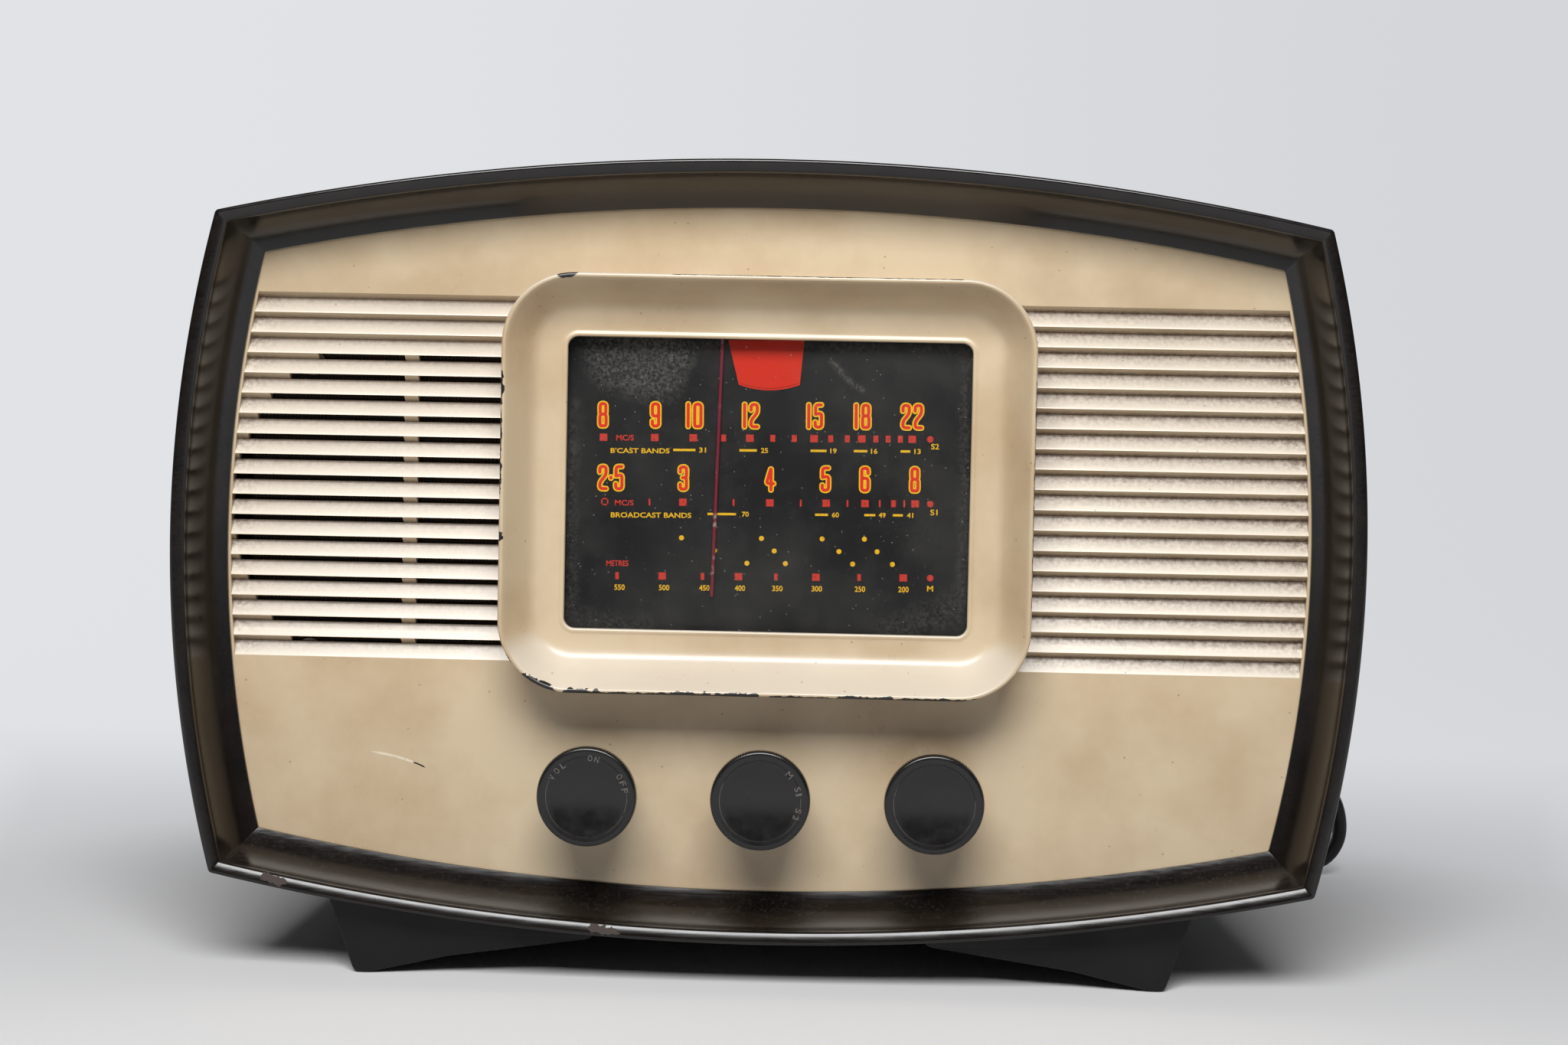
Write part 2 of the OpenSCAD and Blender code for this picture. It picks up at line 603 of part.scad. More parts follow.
module dial_surround() color("#d9c7a6") difference() {
    union() {
        for (k = [0:3]) {
            sx = k == 0 || k == 3 ? 1 : -1;
            sz = k < 2 ? 1 : -1;
            ring_corner(sx * (surround_w / 2 - surround_r),
                dial_z + sz * (surround_h / 2 - surround_r), 90 * k);
        }
        ring_side(surround_w / 2, dial_z, 0, surround_h - 2 * surround_r);
        ring_side(0, dial_z + surround_h / 2, 90, surround_w - 2 * surround_r);
        ring_side(-surround_w / 2, dial_z, 180, surround_h - 2 * surround_r);
        ring_side(0, dial_z - surround_h / 2, 270, surround_w - 2 * surround_r);
    }
    for (p = surround_spots) rod(p[0], cab_z + p[1], panel_y - 3, panel_y + 1, screw_r / 2 + run_gap);
}
module rounded(w, h, r) {
    square([w - 2 * r, h], center = true);
    square([w, h - 2 * r], center = true);
    for (sx = [-1, 1]) for (sz = [-1, 1]) translate([sx * (w / 2 - r), sz * (h / 2 - r)]) circle(r);
}
module dial_glass() color("#7f8a8c") translate([0, 0, dial_z])
    along_y(panel_y - glass_seat, panel_y - glass_seat + glass_t)
        rounded(window_w + 2 * glass_lap, window_h + 2 * glass_lap, window_r + glass_lap);
module dial_plate() color("#1b1b1d") {
    block(-plate_w / 2, plate_w / 2, plate_y, plate_y + plate_t, plate_low, plate_top);
    // Four pillars stand it off the bracket
    for (sx = [-1, 1]) for (z = [plate_low + 5, plate_top - 5])
        rod(sx * (plate_w / 2 - 4), z, plate_y + plate_t / 2, bracket_y, 2);
}

// Bracket behind the dial: carries the plate, the rail, the pulleys and the lamps
lamp_spots = [[-20, 58], [-46, -14]];
leg_spots = [[-42, -28], [bracket_w / 2 - 13, bracket_w / 2 - 1]];
bracket_top = dial_z + bracket_h / 2;
module dial_bracket() color("#8d8f8c") difference() {
    union() {
        block(-bracket_w / 2, bracket_w / 2, bracket_y, bracket_back, dial_z - bracket_h / 2, bracket_top);
        for (s = [-1, 1]) {
            block(min(s * ear_x, s * bracket_w / 2), max(s * ear_x, s * bracket_w / 2), bracket_y, bracket_back,
                bracket_top, line_top + 5);
            block(s * ear_mid - 0.8, s * ear_mid + 0.8, rail_y - 3, bracket_y, line_top - 4, line_top + 4);
            rod(s * pulley_x, pulley_z, bracket_y, line_y + pulley_w / 2 + 1, 1.5);
        }
        for (p = leg_spots) {
            block(p[0], p[1], bracket_y, bracket_back, deck_z, dial_z - bracket_h / 2);
            block(p[0], p[1], bracket_y, chassis_y + 12, deck_z, deck_z + sheet);
        }
    }
    for (s = [-1, 1]) rod_x(s * ear_mid - 2, s * ear_mid + 2, rail_y, line_top, rail_d / 2 + run_gap / 2);
    for (p = lamp_spots) rod(p[0], cab_z + p[1], bracket_y - 1, bracket_back + 1, 5 + run_gap);
}
module rod_x(x0, x1, y, z, r) translate([x0, y, z]) rotate([0, 90, 0]) cylinder(r = r, h = x1 - x0);
module pointer_rail() color("#b9b7b0") rod_x(-ear_mid - 2, ear_mid + 2, rail_y, line_top, rail_d / 2);
wire_len = pointer_len + 1 - (line_top - 2 - hook_z);
module pointer() color("#7d1f16") {
    difference() {
        block(pointer_x - carriage_w / 2, pointer_x + carriage_w / 2, carrier_y - wire_d / 2 - seat_gap,
            line_y + line_r + 1.2, line_top - 3, line_top + 3);
        rod_x(pointer_x - carriage_w, pointer_x + carriage_w, rail_y, line_top, rail_d / 2 + 2 * run_gap);
        rod_x(pointer_x - carriage_w, pointer_x + carriage_w, line_y, line_top, line_d / 2 + 3 * run_gap);
    }
    // Wire: down from the carriage, forward over the plate and down in front of it
    upright([pointer_x, carrier_y], hook_z, line_top - 2, wire_d / 2);
    rod(pointer_x, hook_z, pointer_y, carrier_y, wire_d / 2);
    for (y = [pointer_y, carrier_y]) translate([pointer_x, y, hook_z]) sphere(r = wire_d / 2, $fn = 24);
    translate([pointer_x, pointer_y, hook_z]) rotate([0, asin(pointer_lean / pointer_len), 0])
        translate([0, 0, -wire_len]) cylinder(r = wire_d / 2, h = wire_len, $fn = 24);
}

module pulley(s) color("#c2a45a") turned(s * pulley_x, pulley_z, [
    [1.5 + run_gap, -pulley_w / 2], [pulley_rim, -pulley_w / 2], [pulley_rim, 1 - pulley_w / 2],
    [pulley_r, 1.4 - pulley_w / 2], [pulley_r, pulley_w / 2 - 1.4], [pulley_rim, pulley_w / 2 - 1],
    [pulley_rim, pulley_w / 2], [1.5 + run_gap, pulley_w / 2]], line_y);
module pulley_left() pulley(-1);
module pulley_right() pulley(1);

// Wheels of the drive in the order that the cord meets them: place and radius of the cord's centre
wheels = [
    [[-pulley_x, pulley_z], pulley_r + line_r, 0],
    [[pulley_x, pulley_z], pulley_r + line_r, 0],
    [[knob_pitch, knob_z], spindle_r + line_r, 360],
    [[drum_x, drum_z], drum_r + line_r, 360]
];
function leave_angle(i) = let (a = wheels[i], b = wheels[(i + 1) % 4], d = b[0] - a[0])
    atan2(d[1], d[0]) + acos((a[1] - b[1]) / norm(d));
// The cord arrives where the last straight run ends and goes round clockwise
function wrap(i) = let (
    w = wheels[i], from = leave_angle((i + 3) % 4), to = leave_angle(i),
    turn = ((from - to) % 360 + 360) % 360 + w[2],
    steps = ceil(turn / (2 * acos(1 - 0.08 / w[1]))), shift = w[2] / 360 * 1.5)
    [for (k = [0:steps]) let (a = from - turn * k / steps)
        [w[0][0] + w[1] * cos(a), line_y + shift * (k / steps - 0.5), w[0][1] + w[1] * sin(a)]];
module drive_cord() color("#9a8a62") tube([for (i = [0:3]) each wrap(i)], line_d / 2, 6, [0, 1, 0], true);

// Drum on the capacitor's shaft: grooved rim, web, hub and the post of its spring
shaft_r = 3.175;
module drive_drum() color("#c9c9c4") {
    difference() {
        turned(drum_x, drum_z, [
            [shaft_r, -drum_w / 2], [8, -drum_w / 2], [8, drum_w / 2 - 1.5], [drum_r - 3, drum_w / 2 - 1.5],
            [drum_r - 3, -drum_w / 2], [drum_rim, -drum_w / 2], [drum_rim, 1 - drum_w / 2],
            [drum_r, 1.2 - drum_w / 2], [drum_r, drum_w / 2 - 1.2], [drum_rim, drum_w / 2 - 1],
            [drum_rim, drum_w / 2], [shaft_r, drum_w / 2]],
            line_y);
        for (a = [90, 210, 330]) rod(drum_x + 18 * cos(a), drum_z + 18 * sin(a),
            line_y - drum_w, line_y + drum_w, 5);
    }
}
module drum_spring() color("#a8a59a") translate([drum_x, line_y - 0.3, drum_z]) rotate([0, 30, 0]) {
    translate([8, 0, 0]) rotate([0, 90, 0]) cylinder(r = 0.6, h = drum_r - 11, $fn = 24);
    translate([12, 0, 0]) rotate([0, 90, 0]) cylinder(r = 1.8, h = drum_r - 18);
}

// Tuning capacitor: frame, fixed vanes on the left, moving vanes on the shaft
gang_half = (gang_len - 6) / 2;
function vane_ys(half) = [for (i = [0:vanes - 1]) gang_y + 5.5 + half * gang_half + i * vane_pitch];
module gang_frame() color("#b3aa8c") difference() {
    union() {
        for (y = [gang_y, gang_y + gang_half + 2, gang_y + gang_len - 2])
            block(drum_x - gang_w / 2, drum_x + gang_w / 2, y, y + 2, deck_z, drum_z + gang_w / 2);
        block(drum_x - gang_w / 2, drum_x + gang_w / 2, gang_y, gang_y + gang_len, deck_z, deck_z + 2);
    }
    rod(drum_x, drum_z, gang_y - 1, gang_y + gang_len + 1, shaft_r + run_gap);
}
module gang_stators() color("#c8c4b2") for (half = [0, 1]) {
    for (y = vane_ys(half)) along_y(y + vane_pitch / 2, y + vane_pitch / 2 + vane_t) translate([drum_x, drum_z])
        difference() {
            intersection() {
                circle(vane_r + 4);
                translate([-vane_r - 4, -vane_r - 4]) square([vane_r + 2.5, 2 * vane_r + 8]);
            }
            circle(6);
        }
    for (a = [130, 230]) rod(drum_x + (vane_r + 2.6) * cos(a), drum_z + (vane_r + 2.6) * sin(a),
        gang_y + 2 + half * (gang_half + 2), gang_y + gang_half + 2 + half * (gang_half - 2), 1.2);
}
module gang_rotor() color("#d6d3c6") {
    rod(drum_x, drum_z, line_y - drum_w / 2 - 1, gang_y + gang_len + 2, shaft_r);
    for (half = [0, 1]) for (y = vane_ys(half)) along_y(y, y + vane_t) translate([drum_x, drum_z])
        rotate(90 - drum_rest) intersection() {
            circle(vane_r);
            translate([-vane_r, 0]) square([2 * vane_r, vane_r]);
        }
}

// Knobs: ribbed rim, engraved ring, a body that narrows to its tail, hollow back and a bore for the spindle
knob_back = front_y + knob_len;
grub_y = knob_back - 6;
hub_r = 7;
module knob(i) color("#1a1919") difference() {
    union() {
        along_y(front_y, front_y + knob_rim) translate([i * knob_pitch, knob_z])
            polygon([for (k = [0:95]) (knob_d / 2 - (k % 2) * 0.35) * [cos(3.75 * k), sin(3.75 * k)]]);
        turned(i * knob_pitch, knob_z, [[0, knob_rim - 1], [knob_d / 2 - 0.6, knob_rim - 1],
            [knob_d / 2 - 0.6, knob_rim + 0.4], [knob_tail / 2, knob_len], [0, knob_len]], front_y);
    }
    turned(i * knob_pitch, knob_z, [[0, -1], [groove_d / 2 + 0.9, -1], [groove_d / 2 + 0.5, 0.3],
        [groove_d / 2 + 0.3, 0.9], [groove_d / 2 - 0.3, 0.9], [groove_d / 2 - 0.6, 0.5], [0, 0.8]], front_y);
    turned(i * knob_pitch, knob_z, [[hub_r, knob_rim + 1], [knob_d / 2 - 3.6, knob_rim + 1],
        [knob_tail / 2 - 1.6, knob_len + 1], [hub_r, knob_len + 1]], front_y);
    rod(i * knob_pitch, knob_z, front_y + 5, knob_back + 1, spindle_r);
    translate([i * knob_pitch, grub_y, knob_z - knob_d]) cylinder(r = grub_d / 2, h = knob_d);
}
module grub(i) color("#8a8577") translate([i * knob_pitch, grub_y, knob_z - hub_r])
    cylinder(r = grub_d / 2, h = hub_r - spindle_r - 0.1);
module knob_volume() knob(-1);
module knob_waveband() knob(0);
module knob_tuning() knob(1);
module grub_screw_volume() grub(-1);
module grub_screw_waveband() grub(0);
module grub_screw_tuning() grub(1);

// Controls behind the chassis front: threaded bush, nut and body
bush_r = 4.7;
module control_bush(i, front) difference() {
    union() {
        rod(i * knob_pitch, knob_z, chassis_y - front, chassis_y + sheet, bush_r);
        rod(i * knob_pitch, knob_z, chassis_y + sheet, chassis_y + sheet + 2, bush_r + 3);
    }
    rod(i * knob_pitch, knob_z, chassis_y - 20, chassis_y + 20, spindle_r + run_gap);
}
module spindle(i, back) rod(i * knob_pitch, knob_z, front_y + 5, back, spindle_r);
module volume_control() color("#6e6a60") {
    control_bush(-1, 5);
    turned(-knob_pitch, knob_z, [[spindle_r + run_gap, 2], [14, 2], [14, 13], [0, 13], [0, 11.5],
        [spindle_r + run_gap, 11.5]], chassis_y + sheet);
}
module volume_spindle() color("#b9b7b0") spindle(-1, chassis_y + sheet + 11.2);
module waveband_switch() color("#9c7a3c") {
    control_bush(0, 5);
    for (y = [2, 14]) turned(0, knob_z,
        [[spindle_r + run_gap, y], [17, y], [17, y + 1.6], [spindle_r + run_gap, y + 1.6]],
        chassis_y + sheet);
    for (sx = [-1, 1]) rod(sx * 14, knob_z, chassis_y + sheet + 2, chassis_y + sheet + 17, 1.6);
}
module waveband_spindle() color("#b9b7b0") spindle(0, chassis_y + sheet + 17);
module tuning_bush() color("#b59a55") control_bush(1, 3);
module tuning_spindle() color("#b9b7b0") {
    spindle(1, chassis_y + sheet + 4);
    rod(knob_pitch, knob_z, chassis_y + sheet + 2.2, chassis_y + sheet + 3.4, spindle_r + 1.2);
}
module control_nuts() color("#b59a55") for (i = [-1:1]) difference() {
    translate([i * knob_pitch, chassis_y, knob_z]) rotate([90, 0, 0]) cylinder(r = 7.5, h = 2.2, $fn = 6);
    rod(i * knob_pitch, knob_z, chassis_y - 5, chassis_y + 1, bush_r);
}

// Speaker: cloth on the panel, baffle on its posts, basket, cone and magnet
module speaker_cloth() color("#2b211a") difference() {
    block(-hx + frame_w / 2, -field_inner + 1, panel_back, panel_back + 0.5, speaker_z - grille_r - 2,
        speaker_z + grille_r + 2);
    for (a = fixing_angles) rod(speaker_x + fixing_r * cos(a), speaker_z + fixing_r * sin(a),
        panel_back - 1, panel_back + 2, post_r + seat_gap);
    for (p = surround_spots) rod(p[0], cab_z + p[1], panel_back - 1, panel_back + 2, screw_r + seat_gap);
}
module fixing_holes(y0, y1) for (a = fixing_angles) rod(speaker_x + fixing_r * cos(a),
    speaker_z + fixing_r * sin(a), y0 - 1, y1 + 1, screw_r / 2 + run_gap);
module speaker_baffle() color("#7a5a3a") difference() {
    rod(speaker_x, speaker_z, baffle_y, frame_y, speaker_r);
    rod(speaker_x, speaker_z, baffle_y - 1, frame_y + 1, cone_r + seat_gap + 0.3);
    fixing_holes(baffle_y, frame_y);
}
module speaker_frame() color("#4b4f52") difference() {
    turned(speaker_x, speaker_z, [
        [cone_r + seat_gap, 0], [speaker_r, 0], [speaker_r, frame_t], [cone_r + 3, frame_t],
        [magnet_r - 4, basket_d - frame_t], [magnet_r - 4, basket_d], [coil_r + 2, basket_d],
        [coil_r + 2, basket_d - frame_t], [magnet_r - 5.5, basket_d - frame_t],
        [cone_r + 1.2, frame_t]], frame_y);
    fixing_holes(frame_y, frame_y + frame_t);
    for (a = [0:90:270]) translate([speaker_x, frame_y + 6, speaker_z]) rotate([0, a + 45, 0])
        translate([magnet_r - 2, 0, -9]) cube([speaker_r, basket_d - 14, 18]);
}
module speaker_cone() color("#3c3631") turned(speaker_x, speaker_z, [
    [0, basket_d - 14], [coil_r - 2, basket_d - 12], [cone_r - 4, 1], [cone_r - 2, 0], [cone_r, 0.6],
    [cone_r - 2, 0.8], [cone_r - 4, 1.8], [coil_r + 0.6, basket_d - 10], [coil_r + 0.6, basket_d + 6],
    [coil_r, basket_d + 6], [coil_r, basket_d - 11], [coil_r - 2, basket_d - 11.2], [0, basket_d - 13.2]],
    cone_front);
module speaker_magnet() color("#5b5d60") turned(speaker_x, speaker_z, [
    [0, 0], [coil_r - 0.4, 0], [coil_r - 0.4, 12], [coil_r + 1, 12], [coil_r + 1, 0], [magnet_r, 0],
    [magnet_r, magnet_len - 3], [magnet_r - 3, magnet_len], [0, magnet_len]], magnet_y);
module speaker_screws() color("#8b8578") for (a = fixing_angles) {
    rod(speaker_x + fixing_r * cos(a), speaker_z + fixing_r * sin(a),
        baffle_y - 4.5, frame_y + frame_t, screw_r / 2);
    rod(speaker_x + fixing_r * cos(a), speaker_z + fixing_r * sin(a),
        frame_y + frame_t, frame_y + frame_t + 1.4, screw_r);
}

// Transformers: a stack of laminations and the winding through its window
module transformer(x, y, w, d, h) {
    block(x - w / 2, x + w / 2, y - d / 2, y + d / 2, deck_z, deck_z + h);
    block(x - w / 2 + 0.17 * w, x + w / 2 - 0.17 * w, y - d / 2 - 0.25 * d, y + d / 2 + 0.25 * d,
        deck_z + 0.17 * h, deck_z + 0.83 * h);
}
module output_transformer() color("#5a5148")
    transformer(output_core[0], output_core[1], output_w, output_t, output_h);
module mains_transformer() color("#45423e")
    transformer(mains_spot[0], mains_spot[1], mains_w, mains_t, mains_h);

module chassis() color("#a9a79c") difference() {
    union() {
        block(-chassis_w / 2, chassis_w / 2, chassis_y, chassis_back, deck_z - sheet, deck_z);
        block(-chassis_w / 2, chassis_w / 2, chassis_y, chassis_y + sheet, chassis_z, deck_z);
        block(-chassis_w / 2, chassis_w / 2, chassis_back - sheet, chassis_back, chassis_z, deck_z);
        for (s = [-1, 1]) {
            block(s * chassis_w / 2 - sheet / 2, s * chassis_w / 2 + sheet / 2,
                chassis_y, chassis_back, chassis_z, deck_z);
            block(min(s * chassis_w / 2, s * (chassis_w / 2 + flange_w)),
                max(s * chassis_w / 2, s * (chassis_w / 2 + flange_w)),
                chassis_y, chassis_back, chassis_z, chassis_z + sheet);
        }
    }
    for (i = [-1:1]) rod(i * knob_pitch, knob_z, chassis_y - 1, chassis_y + 3, bush_r);
    for (s = [-1, 1]) for (y = boss_ys)
        upright([s * boss_x, y], chassis_z - 1, chassis_z + 3, screw_r + seat_gap);
    rod(cord_exit[0], cord_exit[1], chassis_back - 3, chassis_back + 1, 2);
}
module chassis_bolts() color("#8b8578") for (s = [-1, 1]) for (y = boss_ys) {
    upright([s * boss_x, y], chassis_z - 4.5, chassis_z + sheet, screw_r);
    upright([s * boss_x, y], chassis_z + sheet, chassis_z + sheet + 2.2, screw_r * 1.8);
}
can_r = 14;
clip_h = 8;
module smoothing_capacitor() color("#b5b3ab") {
    upright(capacitor_spot, deck_z, deck_z + can_h, can_r);
    upright(capacitor_spot, deck_z, deck_z + clip_h, can_r + 1.5);
}
module if_cans() color("#bdbbb2") for (p = if_spots) difference() {
    block(p[0] - if_w / 2, p[0] + if_w / 2, p[1] - if_w / 2, p[1] + if_w / 2, deck_z, deck_z + if_h);
    for (dx = [-6, 6]) upright([p[0] + dx, p[1]], deck_z + if_h - 4, deck_z + if_h + 1, 2.5);
}

// Valves: a base and a domed glass
module valve(spot, h) {
    z = deck_z + socket_h;
    upright(spot, z, z + valve_base, valve_r + 0.8);
    translate([spot[0], spot[1], z + valve_base]) rotate_extrude() polygon([
        [0, 0], [valve_r - 1, 0], [valve_r, 6], [valve_r, h - 12], [valve_r - 2, h - 6],
        [valve_r - 7, h - 1.5], [0, h]]);
}
module signal_valves() color("#8f9698") for (p = signal_spots) valve(p, valve_glass);
module valve_output() color("#7e8587") valve(output_spot, valve_glass + 12);
module valve_rectifier() color("#7e8587") valve(rectifier_spot, valve_glass + 8);
module valve_sockets() color("#6b4a26") for (p = concat(signal_spots, [output_spot, rectifier_spot]))
    upright(p, deck_z, deck_z + socket_h, valve_r + 2);

// Under the deck: coils by the switch, and the tag strip with its small parts
module coil_pack() color("#b98a4a") for (x = [-22, 0, 22]) {
    upright([x, chassis_y + 36], deck_z - sheet - 28, deck_z - sheet, 5);
    upright([x, chassis_y + 36], deck_z - sheet - 22, deck_z - sheet - 8, 8);
}
tag_x = -25 - tag_len / 2;
tag_y = chassis_back - 44;
tag_step = tag_len / 5.7;
tag_t = 2;
resistor_r = 2;
module wiring_parts() color("#a58f5c") {
    block(tag_x, tag_x + tag_len, tag_y, tag_y + tag_t, deck_z - sheet - tag_h, deck_z - sheet);
    for (i = [0:4]) {
        rod_x(tag_x + tag_step * i + 10, tag_x + tag_step * i + 10 + wax_len,
            tag_y - wax_r, deck_z - sheet - wax_r - 4, wax_r);
        rod_x(tag_x + tag_step * i + 18, tag_x + tag_step * i + 29, tag_y + tag_t + resistor_r,
            deck_z - sheet - tag_h / 2, resistor_r);
    }
}
module dial_lamps() color("#d8c38a") for (p = lamp_spots) {
    turned(p[0], cab_z + p[1],
        [[0, 0], [5, 0], [5, sheet], [7, sheet], [7, 4], [5.5, 4], [5.5, 16], [0, 16]], bracket_y);
}
module socket_strip() color("#5f3d1e") difference() {
    block(sockets_x - 24, sockets_x + 24, chassis_back, chassis_back + 3, deck_z - 30, deck_z - 12);
    for (dx = [-12, 12]) rod(sockets_x + dx, deck_z - 21, chassis_back - 1, chassis_back + 4, socket_bore / 2);
}

// Back cover: fibre board with rows of holes, a slot for the sockets and a hole for the cord
vent_pitch = 2.6 * vent_d;
module back_cover() color("#4a3526") difference() {
    barrel([[draw(cover_y) + wall + seat_gap, cover_y], [draw(cover_back) + wall + seat_gap, cover_back]]);
    for (row = [0:2]) for (i = [-5:5])
        rod(i * vent_pitch, cab_z + 40 + row * 2 * vent_d, cover_y - 1, cover_back + 1, vent_d / 2);
    for (i = [-4:4]) if (i > -2 || i < -3)
        rod(i * vent_pitch + 20, cab_z - 30, cover_y - 1, cover_back + 1, vent_d / 2);
    block(sockets_x - 26, sockets_x + 26, cover_y - 1, cover_back + 1, deck_z - 32, deck_z - 10);
    rod(cord_exit[0], cord_exit[1], cover_y - 1, cover_back + 1, 5);
    for (p = cover_spots) rod(p[0], cab_z + p[1], cover_y - 1, cover_back + 1, screw_r + run_gap);
}
module back_cover_screws() color("#8b8578") for (p = cover_spots) {
    rod(p[0], cab_z + p[1], cover_y - 10, cover_back, screw_r);
    rod(p[0], cab_z + p[1], cover_back, cover_back + 2, screw_r * 1.9);
}
module cord_grommet() color("#1d1c1b") turned(cord_exit[0], cord_exit[1], [
    [cable_r + 0.15, -1.6], [7, -1.6], [7, 0], [5, 0], [5, cover_t], [7, cover_t], [6.4, cover_t + 1.8],
    [cable_r + 1.9, cover_t + 3.2], [cable_r + 0.8, cover_t + sleeve_len],
    [cable_r + 0.15, cover_t + sleeve_len]],
    cover_y);

module mains_cord() color("#232222") tube(cord_route, cable_r, 8, [0, 0, 1]);
module cord_coil() color("#232222") tube(coil_points, cable_r, 6, [0, 0, 1]);

// Three pin plug, lying on its back
plug_x = coil_end[0] - plug_d / 2 - 4;
module plug_body() color("#2a211c") {
    translate([plug_x, coil_end[1], 0]) rotate_extrude() polygon([
        [0, 0], [plug_d / 2 - 4, 0], [plug_d / 2, 5], [plug_d / 2, plug_h - 3],
        [plug_d / 2 - 1.5, plug_h], [0, plug_h]]);
    rod_x(plug_x, coil_end[0], coil_end[1], coil_end[2], cable_r + 2.4);
}
module plug_pins() color("#c9a44c") for (p = [[-6, 9, 3.5], [-6, -9, 3.5], [9, 0, 4]])
    upright([plug_x + p[0], coil_end[1] + p[1]], plug_h, plug_h + 16, p[2] - 1);

cabinet();
foot_left();
foot_right();
foot_screws();
front_panel();
panel_screws();
dial_surround();
dial_glass();
dial_plate();
dial_bracket();
pointer_rail();
pointer();
pulley_left();
pulley_right();
drive_cord();
drive_drum();
drum_spring();
gang_frame();
gang_stators();
gang_rotor();
knob_volume();
knob_waveband();
knob_tuning();
grub_screw_volume();
grub_screw_waveband();
grub_screw_tuning();
volume_control();
volume_spindle();
waveband_switch();
waveband_spindle();
tuning_bush();
tuning_spindle();
control_nuts();
speaker_cloth();
speaker_baffle();
speaker_frame();
speaker_cone();
speaker_magnet();
speaker_screws();
output_transformer();
chassis();
chassis_bolts();
mains_transformer();
smoothing_capacitor();
if_cans();
signal_valves();
valve_output();
valve_rectifier();
valve_sockets();
coil_pack();
wiring_parts();
dial_lamps();
socket_strip();
back_cover();
back_cover_screws();
cord_grommet();
mains_cord();
cord_coil();
plug_body();
plug_pins();
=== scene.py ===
"""Table radio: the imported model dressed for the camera.

Every size in the classes is in millimetres of the part's frame (X to the right, Y into
the set, Z up), and a mesh is turned to metres when it is made.
"""

import json
import logging
import math
from dataclasses import dataclass
from enum import Enum
from typing import Any, Dict, Iterable, List, Optional, Sequence, Tuple

import bmesh
import bpy
import numpy as np
from mathutils import Matrix

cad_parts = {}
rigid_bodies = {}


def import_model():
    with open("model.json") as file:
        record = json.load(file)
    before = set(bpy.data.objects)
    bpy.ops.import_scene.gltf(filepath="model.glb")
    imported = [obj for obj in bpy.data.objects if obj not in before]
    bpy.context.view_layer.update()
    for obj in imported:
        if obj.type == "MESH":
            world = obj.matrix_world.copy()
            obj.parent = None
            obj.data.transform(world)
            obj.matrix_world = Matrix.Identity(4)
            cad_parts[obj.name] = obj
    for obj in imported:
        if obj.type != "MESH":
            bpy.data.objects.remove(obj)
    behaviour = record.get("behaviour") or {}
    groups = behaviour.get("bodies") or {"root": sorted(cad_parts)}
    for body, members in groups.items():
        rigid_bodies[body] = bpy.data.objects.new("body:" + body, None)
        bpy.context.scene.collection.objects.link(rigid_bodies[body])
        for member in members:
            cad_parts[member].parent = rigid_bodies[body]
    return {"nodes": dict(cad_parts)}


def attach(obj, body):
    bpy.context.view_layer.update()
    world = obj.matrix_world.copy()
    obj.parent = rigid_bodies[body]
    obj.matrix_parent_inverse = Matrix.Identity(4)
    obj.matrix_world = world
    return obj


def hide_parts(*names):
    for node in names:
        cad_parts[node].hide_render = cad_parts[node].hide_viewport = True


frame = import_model()

LOG = logging.getLogger("table_radio")
MM = 0.001
Point = Tuple[float, float, float]
Flat = Tuple[float, float]
# A worn stretch: start, end and how far the wear reaches from the line between them
WornLine = Tuple[Point, Point, float]


def linear(code: str, alpha: float = 1.0) -> Tuple[float, float, float, float]:
    """Turns an sRGB hex colour into the linear colour that a shader takes.

    Args:
        code: six hex digits, with or without a leading mark.
        alpha: the fourth number.

    Returns:
        Linear red, green and blue, and alpha.
    """
    digits = code.lstrip("#")
    parts = [int(digits[i:i + 2], 16) / 255 for i in (0, 2, 4)]
    red, green, blue = [p / 12.92 if p <= 0.04045 else ((p + 0.055) / 1.055) ** 2.4 for p in parts]
    return (red, green, blue, alpha)


def per(size: float) -> float:
    """Texture scale, in cells per metre, for a cell of this many millimetres."""
    return 1.0 / (size * MM)


def feed(tree: bpy.types.NodeTree, node: bpy.types.Node, feeds: Dict[Any, Any]) -> None:
    """Sets or links inputs of a node.

    Args:
        tree: the node's tree.
        node: the node that is fed.
        feeds: a value or an output socket for each input, by name or number.
    """
    for key, value in feeds.items():
        if isinstance(value, bpy.types.NodeSocket):
            tree.links.new(value, node.inputs[key])
        else:
            node.inputs[key].default_value = value


def add(tree: bpy.types.NodeTree, kind: str, feeds: Optional[Dict[Any, Any]] = None, out: Any = 0,
        stops: Sequence[Tuple[float, Any]] = (), **settings: Any) -> bpy.types.NodeSocket:
    """Adds a shader node, sets it, feeds its inputs and gives back one output.

    Args:
        tree: the material's node tree.
        kind: the node's type without its ShaderNode prefix.
        feeds: a value or an output socket for each input, by name or number.
        out: name or number of the output to give back.
        stops: places and colours of a colour ramp.
        settings: the node's own properties.

    Returns:
        The chosen output socket.
    """
    node = tree.nodes.new("ShaderNode" + kind)
    for key, value in settings.items():
        setattr(node, key, value)
    feed(tree, node, feeds or {})
    if stops:
        ramp = node.color_ramp.elements
        while len(ramp) < len(stops):
            ramp.new(0.5)
        for element, (place, colour) in zip(ramp, stops):
            element.position = place
            element.color = colour if isinstance(colour, tuple) else (colour, colour, colour, 1.0)
    return node.outputs[out]


